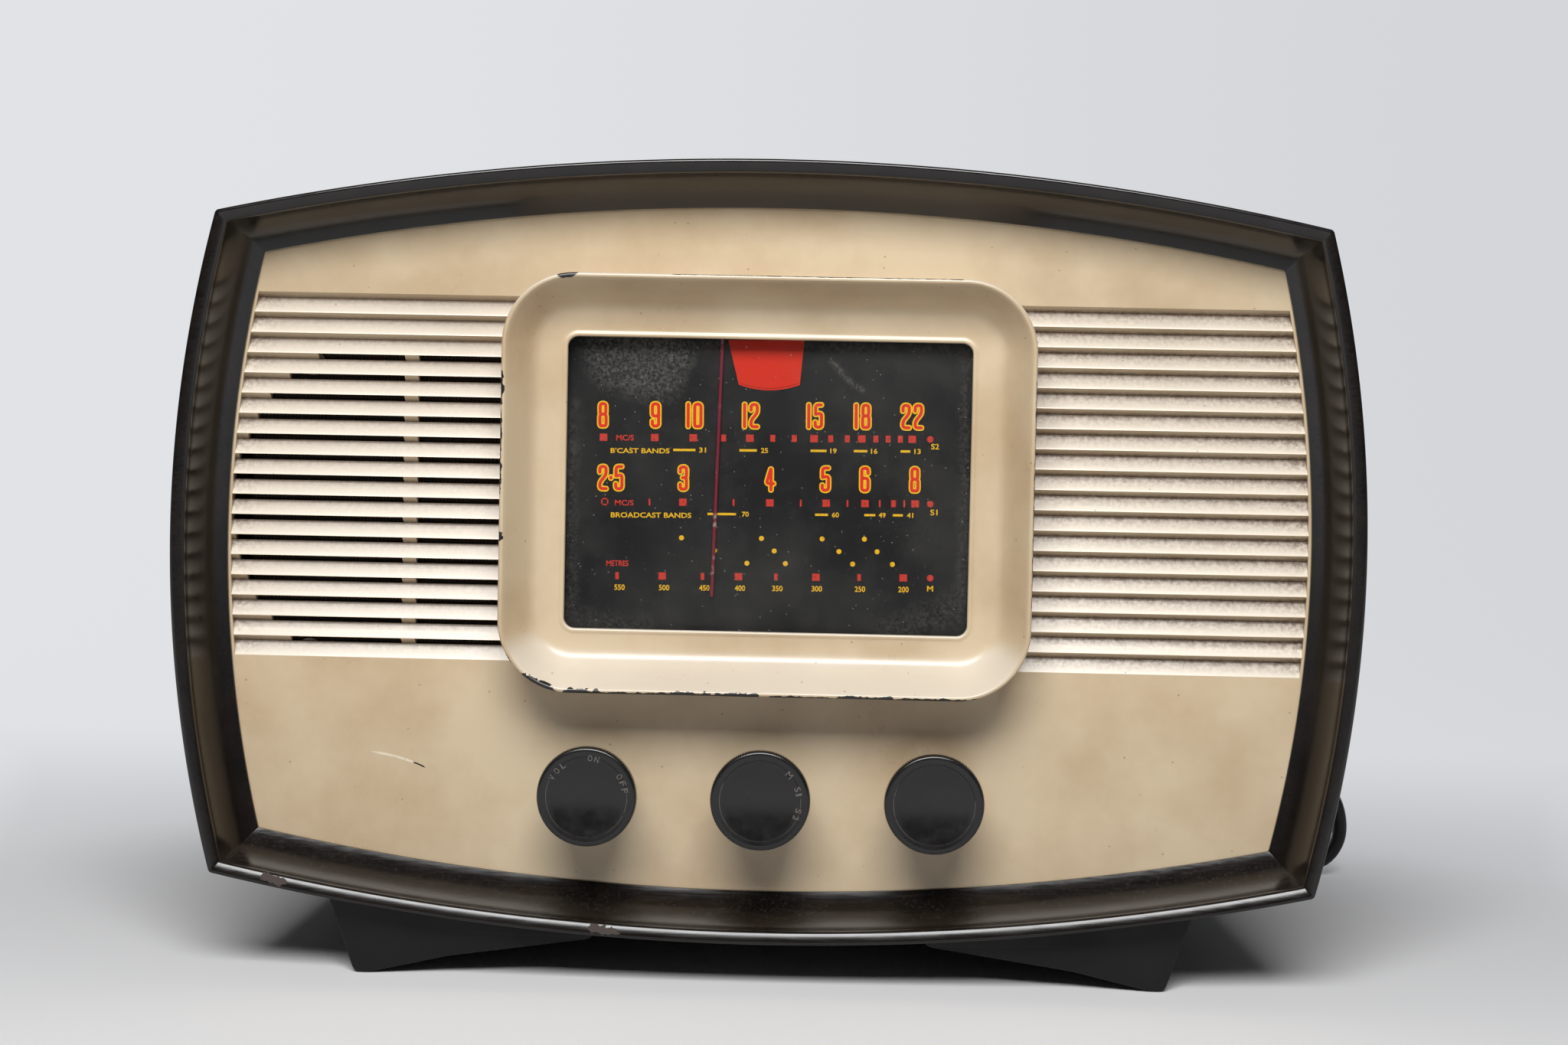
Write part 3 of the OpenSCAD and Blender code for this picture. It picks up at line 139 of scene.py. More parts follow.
def blank(name: str) -> Tuple[bpy.types.Material, bpy.types.NodeTree, bpy.types.Node, bpy.types.NodeSocket]:
    """Starts a material.

    Args:
        name: the material's name.

    Returns:
        The material, its node tree, its shader, and the object coordinates that its patterns read.
    """
    made = bpy.data.materials.new(name)
    made.use_nodes = True
    tree = made.node_tree
    return made, tree, tree.nodes["Principled BSDF"], add(tree, "TexCoord", out="Object")


def round_path(corners: Sequence[Flat], radius: float, steps: int = 6) -> np.ndarray:
    """Open path through corner points, each inner corner replaced by a quadratic curve.

    Args:
        corners: the corner points.
        radius: how far from its corner each curve starts, at most half a leg.
        steps: points per curve.

    Returns:
        Points of the rounded path, one row each.
    """
    p = np.array(corners, float)
    out = [p[:1]]
    t = np.linspace(0, 1, steps)[:, None]
    for a, b, c in zip(p[:-2], p[1:-1], p[2:]):
        near, far = np.linalg.norm(a - b), np.linalg.norm(c - b)
        start = b + (a - b) / near * min(radius, near / 2)
        end = b + (c - b) / far * min(radius, far / 2)
        out.append((1 - t) ** 2 * start + 2 * t * (1 - t) * b + t ** 2 * end)
    out.append(p[-1:])
    return np.concatenate(out)


def smooth_route(points: Sequence[Point], step: float) -> np.ndarray:
    """Uniform cubic curve through the points, resampled at an even step.

    Args:
        points: the route's points in millimetres.
        step: distance between samples in millimetres.

    Returns:
        Samples of the curve, first and last point kept.
    """
    p = np.array(points, float)
    p = np.vstack([2 * p[0] - p[1], p, 2 * p[-1] - p[-2]])
    t = np.linspace(0, 1, 12, endpoint=False)[None, :, None]
    a, b, c, d = (p[i:len(p) - 3 + i][:, None, :] for i in range(4))
    dense = 0.5 * (2 * b + (c - a) * t + (2 * a - 5 * b + 4 * c - d) * t ** 2
                   + (3 * b - a - 3 * c + d) * t ** 3)
    dense = np.vstack([dense.reshape(-1, 3), p[-2]])
    run = np.concatenate([[0], np.cumsum(np.linalg.norm(np.diff(dense, axis=0), axis=1))])
    even = np.linspace(0, run[-1], int(round(run[-1] / step)) + 1)
    return np.stack([np.interp(even, run, dense[:, k]) for k in range(3)], 1)


def circle(steps: int) -> np.ndarray:
    """Points of a unit circle: cosine and sine of even angles, anticlockwise."""
    angle = np.linspace(0, 2 * math.pi, steps, endpoint=False)
    return np.stack([np.cos(angle), np.sin(angle)], -1)


def spin(flat: np.ndarray, angle: float) -> np.ndarray:
    """Flat points turned anticlockwise about the origin by an angle in radians."""
    c, s = math.cos(angle), math.sin(angle)
    return np.stack([c * flat[:, 0] - s * flat[:, 1], s * flat[:, 0] + c * flat[:, 1]], -1)


def stand(flat: np.ndarray, depth: float) -> np.ndarray:
    """Flat points stood up to face the front: one depth is put between their X and Z."""
    return np.insert(np.asarray(flat, float), 1, depth, axis=-1)


def cells(index: np.ndarray) -> np.ndarray:
    """Corner numbers of each cell of a grid, from the numbers of its points."""
    return np.stack([index[:-1, :-1], index[:-1, 1:], index[1:, 1:], index[1:, :-1]], -1)


class Skin:
    """Gathers grids of points, in millimetres, and makes them one mesh.

    Points closer than JOIN are joined and edges shorter than COLLAPSE dissolved. Both are in metres.
    """

    JOIN = 2e-6
    COLLAPSE = 1e-7

    def __init__(self) -> None:
        """Starts with nothing."""
        self.points: List[np.ndarray] = []
        self.faces: List[np.ndarray] = []
        self.count = 0

    def place(self, points: np.ndarray) -> np.ndarray:
        """Adds points and returns their numbers, laid out as the points are.

        Args:
            points: an array whose last axis is X, Y and Z.

        Returns:
            Their numbers.
        """
        grid = np.asarray(points, float)
        index = self.count + np.arange(grid[..., 0].size).reshape(grid.shape[:-1])
        self.points.append(grid.reshape(-1, 3))
        self.count += index.size
        return index

    def sheet(self, grid: np.ndarray, wrap: bool = False, loop: bool = False) -> None:
        """Quads between the rows and columns of a grid.

        Args:
            grid: points by row and column.
            wrap: the last column joins the first.
            loop: the last row joins the first.
        """
        index = self.place(grid)
        if wrap:
            index = np.hstack([index, index[:, :1]])
        if loop:
            index = np.vstack([index, index[:1]])
        self.faces.append(cells(index).reshape(-1, 4))

    def slab(self, front: np.ndarray, back: np.ndarray, keep: np.ndarray) -> None:
        """A closed slab between two grids, with a wall round every cell that is left out.

        Args:
            front: points of the front by row and column.
            back: points of the back, the same shape.
            keep: which cells are solid.
        """
        a, b = self.place(front), self.place(back)
        for index in (a, b):
            self.faces.append(cells(index)[keep])
        solid = np.pad(keep, 1)
        across = solid[1:, 1:-1] != solid[:-1, 1:-1]
        self.faces.append(np.stack([a[:, :-1], a[:, 1:], b[:, 1:], b[:, :-1]], -1)[across])
        upright = solid[1:-1, 1:] != solid[1:-1, :-1]
        self.faces.append(np.stack([a[:-1], a[1:], b[1:], b[:-1]], -1)[upright])

    def lathe(self, centre: Point, profile: Sequence[Flat], axis: str = "Y", columns: int = 48,
              ripple: Optional[np.ndarray] = None) -> None:
        """A turned piece: radius and distance along the axis, swept round it.

        Args:
            centre: where the axis starts.
            profile: pairs of radius and distance along the axis.
            axis: Y or Z.
            columns: how many steps round.
            ripple: added to the radius, by profile row and column.
        """
        p = np.array(profile, float)
        angle = np.linspace(0, 2 * math.pi, columns, endpoint=False)
        radius = p[:, :1] + (0 if ripple is None else ripple)
        u, v = radius * np.cos(angle), radius * np.sin(angle)
        along = np.broadcast_to(p[:, 1:], u.shape)
        grid = np.stack([u, along, v] if axis == "Y" else [u, v, along], -1)
        self.sheet(grid + np.array(centre), wrap=True)

    def post(self, low: Point, high: Point) -> None:
        """A closed box between two corners.

        Args:
            low: its lowest corner.
            high: its highest corner.
        """
        x, y, z = zip(low, high)
        loop = [(x[0], z[0]), (x[1], z[0]), (x[1], z[1]), (x[0], z[1])]
        middle = (sum(x) / 2, sum(z) / 2)
        rows = [[middle] * 4, loop, loop, [middle] * 4]
        depth = [y[0], y[0], y[1], y[1]]
        self.sheet(np.array([[(p[0], d, p[1]) for p in row] for row, d in zip(rows, depth)]), wrap=True)

    def ribbons(self, paths: Iterable[np.ndarray], half: float, y: float) -> None:
        """Flat strokes with round ends that face the front.

        Args:
            paths: points in X and Z.
            half: half the stroke's width.
            y: depth of the ink.
        """
        disc = half * circle(12)
        for path in paths:
            a, b = path[:-1], path[1:]
            run = b - a
            run = run / np.maximum(np.linalg.norm(run, axis=1, keepdims=True), 1e-9)
            side = half * np.stack([-run[:, 1], run[:, 0]], -1)
            quads = np.stack([a - side, b - side, b + side, a + side], 1)
            for shape in (quads, path[:, None, :] + disc):
                self.faces.append(self.place(stand(shape, y)))

    def patch(self, outline: np.ndarray, y: float) -> None:
        """One flat face from its outline in X and Z, anticlockwise from the front."""
        self.faces.append(self.place(stand(outline, y))[None, :])

    def build(self, name: str, material: bpy.types.Material, slot: str, body: str = "radio",
              stands_for: Sequence[str] = (), crease: float = 35.0, closed: bool = True) -> bpy.types.Object:
        """Args:
            name: the piece's name.
            material: its finish.
            slot: the record's material slot.
            body: the body that it moves with.
            stands_for: CAD nodes that it replaces.
            crease: angle in degrees above which an edge is sharp.
            closed: whether to turn all faces outward.

        Returns:
            The new object.
        """
        mesh = bpy.data.meshes.new(name)
        faces = [f for block in self.faces for f in block.tolist()]
        mesh.from_pydata(np.concatenate(self.points) * MM, [], faces)
        work = bmesh.new()
        work.from_mesh(mesh)
        if closed:
            bmesh.ops.remove_doubles(work, verts=work.verts, dist=self.JOIN)
            bmesh.ops.dissolve_degenerate(work, edges=work.edges, dist=self.COLLAPSE)
            bmesh.ops.recalc_face_normals(work, faces=work.faces)
        work.to_mesh(mesh)
        work.free()
        mesh.shade_smooth()
        mesh.set_sharp_from_angle(angle=math.radians(crease))
        mesh.materials.append(material)
        thing = bpy.data.objects.new(name, mesh)
        bpy.context.scene.collection.objects.link(thing)
        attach(thing, body)
        if stands_for:
            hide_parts(*stands_for)
        return thing


def places(thing: bpy.types.Object) -> np.ndarray:
    """Vertex places of an object's mesh in millimetres.

    Args:
        thing: the object.

    Returns:
        One row for each vertex.
    """
    flat = np.empty(len(thing.data.vertices) * 3)
    thing.data.vertices.foreach_get("co", flat)
    return flat.reshape(-1, 3) / MM


def mark(thing: bpy.types.Object, name: str, values: np.ndarray) -> None:
    """Stores one number per vertex for the material to read."""
    layer = thing.data.attributes.new(name, "FLOAT", "POINT")
    layer.data.foreach_set("value", np.asarray(values, np.float32))


def near_lines(points: np.ndarray, lines: Sequence[WornLine]) -> np.ndarray:
    """How close each point is to the nearest line: 1 on it, 0 at its radius.

    Args:
        points: places in millimetres.
        lines: start, end and radius of each line.

    Returns:
        One number from 0 to 1 per point.
    """
    best = np.zeros(len(points))
    for start, end, radius in lines:
        a, run = np.array(start, float), np.array(end, float) - np.array(start, float)
        along = np.clip(((points - a) @ run) / max(run @ run, 1e-9), 0, 1)
        gap = np.linalg.norm(points - a - along[:, None] * run, axis=1)
        best = np.maximum(best, 1 - gap / radius)
    return best


# A wave texture repeats every 0.314 of its cell. A weave repeats at every second thread, and
# laminations are drawn six times as coarse as they are, or they would not show.
WEAVE_CELL = 6.3
LAYER_CELL = 20.0


class Pattern(Enum):
    """What the surface of an inner part shows up close."""

    PLAIN = "plain"
    BRUSHED = "brushed"
    LAYERS = "layers"
    WOVEN = "woven"
    FIBRES = "fibres"
    SPECKLED = "speckled"


@dataclass(frozen=True)
class Finish:
    """A finish with one main colour, a second colour in its pattern, and its gloss.

    The pattern's size and that of the handling marks are in millimetres. Bump is the depth in
    millimetres that the pattern has on the real part.
    """

    name: str
    colour: str
    second: str
    size: float
    roughness: float
    pattern: Pattern = Pattern.PLAIN
    metallic: float = 0.0
    bump: float = 0.02
    coat: float = 0.0
    alpha: float = 1.0
    handling: float = 22.0

    def texture(self, tree: bpy.types.NodeTree, position: bpy.types.NodeSocket) -> bpy.types.NodeSocket:
        """The pattern as one grey value.

        Args:
            tree: the material's nodes.
            position: object coordinates.

        Returns:
            A value near 0 to 1.
        """
        if self.pattern in (Pattern.BRUSHED, Pattern.FIBRES):
            stretch = (1.0, 0.06, 1.0) if self.pattern is Pattern.BRUSHED else (0.25, 1.0, 1.0)
            drawn = add(tree, "Mapping", {"Vector": position, "Scale": stretch})
            return add(tree, "TexNoise", {"Vector": drawn, "Scale": per(self.size), "Detail": 5.0})
        if self.pattern is Pattern.LAYERS:
            cell = per(self.size * LAYER_CELL)
            return add(tree, "TexWave", {"Vector": position, "Scale": cell, "Distortion": 0.4}, out="Fac",
                       bands_direction="X")
        if self.pattern is Pattern.WOVEN:
            cell = per(self.size * WEAVE_CELL)
            across, up = [add(tree, "TexWave", {"Vector": position, "Scale": cell}, out="Fac",
                              bands_direction=way) for way in "XZ"]
            return add(tree, "Math", {0: across, 1: up}, operation="MULTIPLY")
        if self.pattern is Pattern.SPECKLED:
            return add(tree, "TexVoronoi", {"Vector": position, "Scale": per(self.size)}, out="Distance")
        return add(tree, "TexNoise", {"Vector": position, "Scale": per(self.size), "Detail": 4.0})

    def material(self) -> bpy.types.Material:
        """Builds the material: pattern to colour, roughness and bump, with handling marks over it.

        Returns:
            The material.
        """
        made, tree, shader, position = blank(self.name)
        fine = self.texture(tree, position)
        broad = add(tree, "TexNoise", {"Vector": position, "Scale": per(self.handling), "Detail": 3.0})
        both = add(tree, "Math", {0: fine, 1: broad}, operation="MULTIPLY")
        colour = add(tree, "ValToRGB", {"Fac": both},
                     stops=[(0.12, linear(self.second)), (0.5, linear(self.colour))])
        gloss = add(tree, "MapRange", {"Value": broad, "From Min": 0.3, "From Max": 0.7,
                                       "To Min": max(self.roughness - 0.08, 0.03),
                                       "To Max": min(self.roughness + 0.12, 1.0)})
        relief = add(tree, "Bump", {"Height": fine, "Strength": 0.6, "Distance": self.bump * MM})
        feed(tree, shader, {"Base Color": colour, "Roughness": gloss, "Normal": relief,
                            "Metallic": self.metallic, "Coat Weight": self.coat, "Alpha": self.alpha})
        return made


# Zinc-plated steel: bright grey with a faint bluish cast and soft handling marks
ZINC = Finish("zinc_plated_steel", "#a9aca8", "#7d807c", 1.5, 0.34, Pattern.BRUSHED, 1.0, 0.01)
# Drawn steel spindles and rails: brighter, with fine lines along them
STEEL = Finish("drawn_steel", "#b9b8b3", "#8b8a86", 0.8, 0.26, Pattern.BRUSHED, 1.0, 0.01)
# Oiled screw steel: dull grey, with rust-brown in its hollows
DULL_STEEL = Finish("oiled_screw_steel", "#7f7a70", "#5a4a3b", 1.2, 0.45, Pattern.PLAIN, 1.0, 0.02)
# Turned brass: warm yellow, slightly tarnished
BRASS = Finish("turned_brass", "#bb9a55", "#8b6b34", 1.0, 0.3, Pattern.BRUSHED, 1.0, 0.01)
# Pressed aluminium: pale, satin, with fine rolling lines
ALUMINIUM = Finish("pressed_aluminium", "#bfc1c2", "#96989a", 1.4, 0.36, Pattern.BRUSHED, 1.0, 0.01)
# Varnished transformer iron: thin dark laminations
DARK_IRON = Finish("varnished_laminated_iron", "#3a3632", "#1f1c1a", 0.5, 0.5, Pattern.LAYERS, 0.3, 0.05)
# Woven silk over cotton for the loudspeaker: dark brown threads 0.6 mm apart
CLOTH = Finish("woven_speaker_cloth", "#4a3a2b", "#1d1510", 0.6, 0.9, Pattern.WOVEN, 0.0, 0.15)
# Plain wood-fibre board of the baffle
BOARD = Finish("soft_fibre_board", "#7a5a3a", "#4d371f", 0.9, 0.85, Pattern.FIBRES, 0.0, 0.05)
# Pressed grey paper of the cone
PAPER = Finish("pressed_cone_paper", "#4a4540", "#302c28", 0.7, 0.9, Pattern.FIBRES, 0.0, 0.08)
# Valve glass: clear with a smoky, silvered getter
VALVE = Finish("smoked_valve_glass", "#5c6468", "#2a2d30", 6.0, 0.08, Pattern.PLAIN, 0.0, 0.0, 0.4, 0.55)
# Board of the coils and sockets: paper laminated in brown resin
RESIN = Finish("brown_laminated_resin", "#8a5f30", "#5d3b1a", 0.8, 0.4, Pattern.FIBRES, 0.0, 0.02, 0.3)
# Hardboard back: pressed brown fibres about a millimetre long, smooth face out
FIBRE = Finish("pressed_hardboard", "#5f4430", "#3c2919", 1.0, 0.72, Pattern.FIBRES, 0.0, 0.06)
# Moulded rubber of the grommet: matt black with a grey bloom
RUBBER = Finish("moulded_rubber", "#262523", "#171615", 1.2, 0.7, Pattern.PLAIN, 0.0, 0.03)
# Vulcanised rubber lead: black, slightly dusty
LEAD = Finish("vulcanised_rubber_lead", "#131213", "#0c0b0c", 0.9, 0.5, Pattern.PLAIN, 0.0, 0.03)
# Brown phenolic plug: mottled, half gloss
PLUG = Finish("brown_phenolic_plug", "#3a2a20", "#20150f", 2.4, 0.35, Pattern.PLAIN, 0.0, 0.01, 0.3)
# Moulded black feet: dull phenolic, nearly without shine
FOOT = Finish("moulded_foot_phenolic", "#111010", "#090909", 2.2, 0.5, Pattern.PLAIN, 0.0, 0.02)
# Braided drive line: pale waxed flax
LINE = Finish("braided_flax_line", "#a8997a", "#6d6048", 0.5, 0.85, Pattern.WOVEN, 0.0, 0.1)


@dataclass(frozen=True)
class BrownPhenolic:
    """Dark brown phenolic, compression moulded and polished, then seventy years old.

    The eye sees a near-black gloss with a faint brown mottle, hairline scratches, dust
    that lies on upward faces and rough brown chips where the bead was knocked. The sizes
    and the relief are in millimetres.
    """

    name: str = "polished_brown_phenolic"
    body: str = "#1a1411"
    mottle: str = "#100c0a"
    chip: str = "#463a34"
    dust: str = "#8d857a"
    mottle_size: float = 9.0
    dust_size: float = 0.9
    chip_grain: float = 1.6
    scratch_size: float = 0.7
    depth: float = 0.2

    def material(self) -> bpy.types.Material:
        """Builds the cabinet's material from mottle, scratches, dust and chips.

        Returns:
            The material.
        """
        made, tree, shader, position = blank(self.name)
        cloud = add(tree, "TexNoise", {"Vector": position, "Scale": per(self.mottle_size), "Detail": 6.0})
        base = add(tree, "ValToRGB", {"Fac": cloud},
                   stops=[(0.35, linear(self.mottle)), (0.65, linear(self.body))])
        # Dust settles in fine specks where a face looks up
        upward = add(tree, "SeparateXYZ", {0: add(tree, "NewGeometry", out="Normal")}, out="Z")
        specks = add(tree, "TexNoise", {"Vector": position, "Scale": per(self.dust_size), "Detail": 3.0})
        settled = add(tree, "MapRange", {"Value": upward, "From Min": 0.1, "From Max": 1.0, "To Max": 0.1})
        sharp = add(tree, "MapRange", {"Value": specks, "From Min": 0.52, "From Max": 0.72})
        dusty = add(tree, "Math", {0: settled, 1: sharp, 2: 0.0}, operation="MULTIPLY_ADD", use_clamp=True)
        colour = add(tree, "Mix", {0: dusty, 6: base, 7: linear(self.dust)}, out=2, data_type="RGBA")
        # Chips: the marked places, broken up by grains of about a millimetre
        worn = add(tree, "Attribute", out="Fac", attribute_name="wear")
        grain = add(tree, "TexNoise", {"Vector": position, "Scale": per(self.chip_grain), "Detail": 4.0})
        lifted = add(tree, "Math", {0: grain, 1: 1.1, 2: worn}, operation="MULTIPLY_ADD")
        chipped = add(tree, "MapRange", {"Value": lifted, "From Min": 1.02, "From Max": 1.07})
        colour = add(tree, "Mix", {0: chipped, 6: colour, 7: linear(self.chip)}, out=2, data_type="RGBA")
        # Polishing scratches run round the moulding
        along = add(tree, "Mapping", {"Vector": position, "Scale": (0.05, 1, 1)})
        streaks = add(tree, "TexNoise", {"Vector": along, "Scale": per(self.scratch_size), "Detail": 4.0})
        gloss = add(tree, "MapRange", {"Value": streaks, "From Min": 0.3, "From Max": 0.75, "To Min": 0.14,
                                       "To Max": 0.26})
        rough = add(tree, "Mix", {0: chipped, 2: gloss, 3: 0.8}, out=0)
        pit = add(tree, "Math", {0: chipped, 1: -1.0}, operation="MULTIPLY")
        height = add(tree, "Math", {0: streaks, 1: 0.02, 2: pit}, operation="MULTIPLY_ADD")
        relief = add(tree, "Bump", {"Height": height, "Strength": 0.5, "Distance": self.depth * MM})
        feed(tree, shader, {"Base Color": colour, "Roughness": rough, "Normal": relief, "IOR": 1.6})
        return made


@dataclass(frozen=True)
class CreamPaint:
    """Cream stoving enamel sprayed over the moulding.

    The eye sees a warm tan cream with soft cloudy staining, fine pits, brown grime in the
    hollows and black chips down to the moulding along worn edges. Faces that look up are
    made paler, a painted sheen of the lamp along with bleaching and dust, and the deep cuts
    of the louvres are browned with painted shade along with stain. The sizes and the relief
    are in millimetres.
    """

    name: str = "cream_stoving_enamel"
    body: str = "#dcc7a6"
    shade: str = "#cdb491"
    # Pale tone of faces that look up: painted sheen, along with bleaching and dust
    sheen_and_bleach_colour: str = "#f0e6d6"
    grime: str = "#5f3f24"
    # Brown of the louvres' deep cuts: painted shade, along with stain
    stain_and_cut_shade: str = "#5a4330"
    chip: str = "#17120f"
    fly_speck: str = "#8a6a48"
    cloud_size: float = 45.0
    speck_spacing: float = 7.0
    crumb_size: float = 1.4
    chip_grain: float = 2.2
    skin_size: float = 1.1
    depth: float = 0.06

    def material(self) -> bpy.types.Material:
        """Builds the paint from staining, a painted sheen on upward faces, grime, painted shade in the louvre
        cuts, pits and chips.

        Returns:
            The material.
        """
        made, tree, shader, position = blank(self.name)
        cloud = add(tree, "TexNoise", {"Vector": position, "Scale": per(self.cloud_size), "Detail": 5.0,
                                       "Roughness": 0.6})
        base = add(tree, "ValToRGB", {"Fac": cloud},
                   stops=[(0.36, linear(self.shade)), (0.6, linear(self.body))])
        # Painted sheen: faces that look up are made paler, standing in for the lamp's sheen on them, along
        # with bleaching and a film of pale dust
        upward = add(tree, "SeparateXYZ", {0: add(tree, "TexCoord", out="Normal")}, out="Z")
        sheen_and_bleach = add(tree, "MapRange", {"Value": upward, "From Min": 0.12, "From Max": 0.5, "To Max": 0.7},
                     interpolation_type="SMOOTHSTEP")
        base = add(tree, "Mix", {0: sheen_and_bleach, 6: base, 7: linear(self.sheen_and_bleach_colour)}, out=2, data_type="RGBA")
        # Fly specks and pinholes, about half a millimetre, few and brown
        pin = add(tree, "TexVoronoi", {"Vector": position, "Scale": per(self.speck_spacing)}, out="Distance")
        speck = add(tree, "MapRange", {"Value": pin, "From Min": 0.035, "From Max": 0.06, "To Min": 0.55,
                                       "To Max": 0.0})
        colour = add(tree, "Mix", {0: speck, 6: base, 7: linear(self.fly_speck)}, out=2, data_type="RGBA")
        # Grime: marked places, broken into crumbs
        dirt = add(tree, "Attribute", out="Fac", attribute_name="grime")
        crumbs = add(tree, "TexNoise", {"Vector": position, "Scale": per(self.crumb_size), "Detail": 6.0,
                                        "Roughness": 0.7})
        spread = add(tree, "MapRange", {"Value": crumbs, "From Min": 0.38, "From Max": 0.62})
        dirty = add(tree, "Math", {0: dirt, 1: spread}, operation="MULTIPLY", use_clamp=True)
        colour = add(tree, "Mix", {0: dirty, 6: colour, 7: linear(self.grime)}, out=2, data_type="RGBA")
        # Painted shade with stain: the deep cuts of the louvres, under each slat, are browned for the shade
        # there along with a film of dirt
        cut = add(tree, "Attribute", out="Fac", attribute_name="cut")
        patchy = add(tree, "MapRange", {"Value": crumbs, "To Min": 0.8, "To Max": 1.1})
        film = add(tree, "Math", {0: patchy, 1: cut}, operation="MULTIPLY", use_clamp=True)
        colour = add(tree, "Mix", {0: film, 6: colour, 7: linear(self.stain_and_cut_shade)}, out=2, data_type="RGBA")
        # Chips: marked edges, torn at a scale of about two millimetres
        worn = add(tree, "Attribute", out="Fac", attribute_name="wear")
        grain = add(tree, "TexNoise", {"Vector": position, "Scale": per(self.chip_grain), "Detail": 5.0})
        lifted = add(tree, "Math", {0: grain, 1: 1.2, 2: worn}, operation="MULTIPLY_ADD")
        chipped = add(tree, "MapRange", {"Value": lifted, "From Min": 1.08, "From Max": 1.11})
        colour = add(tree, "Mix", {0: chipped, 6: colour, 7: linear(self.chip)}, out=2, data_type="RGBA")
        skin = add(tree, "TexNoise", {"Vector": position, "Scale": per(self.skin_size), "Detail": 3.0})
        gloss = add(tree, "MapRange", {"Value": cloud, "From Min": 0.3, "From Max": 0.7, "To Min": 0.26,
                                       "To Max": 0.36})
        rough = add(tree, "Math", {0: dirty, 1: 0.4, 2: gloss}, operation="MULTIPLY_ADD", use_clamp=True)
        height = add(tree, "Math", {0: chipped, 1: -2.5, 2: skin}, operation="MULTIPLY_ADD")
        relief = add(tree, "Bump", {"Height": height, "Strength": 0.3, "Distance": self.depth * MM})
        feed(tree, shader, {"Base Color": colour, "Roughness": rough, "Normal": relief, "IOR": 1.55,
                            "Coat Weight": 0.6, "Coat Roughness": 0.32})
        return made


@dataclass(frozen=True)
class DialBlack:
    """Black lacquer screened on the back of the dial, with dust and rubbed patches on it.

    The eye sees a neutral charcoal, a hazy grey rubbed patch at the top left, a pale
    scratch at the top right, and grey dust gathered in the lower corners. The sizes and
    the relief are in millimetres.
    """

    name: str = "dusty_dial_lacquer"
    body: str = "#161617"
    haze: str = "#5c5a54"
    smoke_size: float = 14.0
    crumb_size: float = 1.0
    speck_spacing: float = 2.4
    depth: float = 0.03

    def material(self) -> bpy.types.Material:
        """Builds the lacquer with its haze, dust and scratches.

        Returns:
            The material.
        """
        made, tree, shader, position = blank(self.name)
        cloud = add(tree, "TexNoise", {"Vector": position, "Scale": per(self.smoke_size), "Detail": 8.0,
                                       "Roughness": 0.7})
        smoke = add(tree, "MapRange", {"Value": cloud, "From Min": 0.45, "From Max": 0.8, "To Max": 0.16})
        rubbed = add(tree, "Attribute", out="Fac", attribute_name="wear")
        crumbs = add(tree, "TexNoise", {"Vector": position, "Scale": per(self.crumb_size), "Detail": 5.0,
                                        "Roughness": 0.75})
        torn = add(tree, "MapRange", {"Value": crumbs, "From Min": 0.42, "From Max": 0.62})
        patch = add(tree, "Math", {0: rubbed, 1: torn}, operation="MULTIPLY", use_clamp=True)
        dot = add(tree, "TexVoronoi", {"Vector": position, "Scale": per(self.speck_spacing)}, out="Distance")
        speck = add(tree, "MapRange", {"Value": dot, "From Min": 0.05, "From Max": 0.09, "To Min": 0.6,
                                       "To Max": 0.0})
        loose = add(tree, "Math", {0: smoke, 1: speck}, operation="MAXIMUM")
        total = add(tree, "Math", {0: loose, 1: patch}, operation="MAXIMUM")
        colour = add(tree, "Mix", {0: total, 6: linear(self.body), 7: linear(self.haze)}, out=2,
                     data_type="RGBA")
        rough = add(tree, "MapRange", {"Value": total, "To Min": 0.45, "To Max": 0.9})
        relief = add(tree, "Bump", {"Height": crumbs, "Strength": 0.2, "Distance": self.depth * MM})
        feed(tree, shader, {"Base Color": colour, "Roughness": rough, "Normal": relief,
                            "Specular IOR Level": 0.25})
        return made


@dataclass(frozen=True)
class Ink:
    """Silk-screen ink: flat, slightly uneven, with pinholes where the screen missed.

    The tooth's size and its depth are in millimetres.
    """

    name: str
    colour: str
    thin: str
    tooth: float = 0.9
    depth: float = 0.02

    def material(self) -> bpy.types.Material:
        """Builds the ink from two close tones and a fine tooth.

        Returns:
            The material.
        """
        made, tree, shader, position = blank(self.name)
        worn = add(tree, "TexNoise", {"Vector": position, "Scale": per(self.tooth), "Detail": 6.0,
                                      "Roughness": 0.7})
        colour = add(tree, "ValToRGB", {"Fac": worn},
                     stops=[(0.36, linear(self.thin)), (0.46, linear(self.colour))])
        relief = add(tree, "Bump", {"Height": worn, "Strength": 0.15, "Distance": self.depth * MM})
        feed(tree, shader, {"Base Color": colour, "Normal": relief, "Roughness": 0.55,
                            "Specular IOR Level": 0.25})
        return made


# Duller red of the marks and small words
MARK_RED = Ink("dull_red_screen_ink", "#c2382c", "#6d2620")
# Golden yellow of outlines, bars and numbers
GOLD = Ink("golden_yellow_screen_ink", "#e6b41f", "#b88c1c")
# Red enamel of the bare badge
BADGE_RED = Ink("signal_red_badge_enamel", "#cd2a13", "#c02711")
# Grey filler rubbed into engraved letters, mostly gone; the same grey drawn in each knob's ring groove is a
# painted highlight
RING_HIGHLIGHT_AND_FILLER = Ink("worn_letter_filler_and_ring_highlight", "#6c6762", "#3d3936")
# Enamel scuffed pale by a knock, and the dark moulding laid bare at its end
SCUFF = Ink("scuffed_enamel", "#ecdfc6", "#d9c6a3")
GOUGE = Ink("bare_moulding_in_gouge", "#1d1815", "#3a2f26")


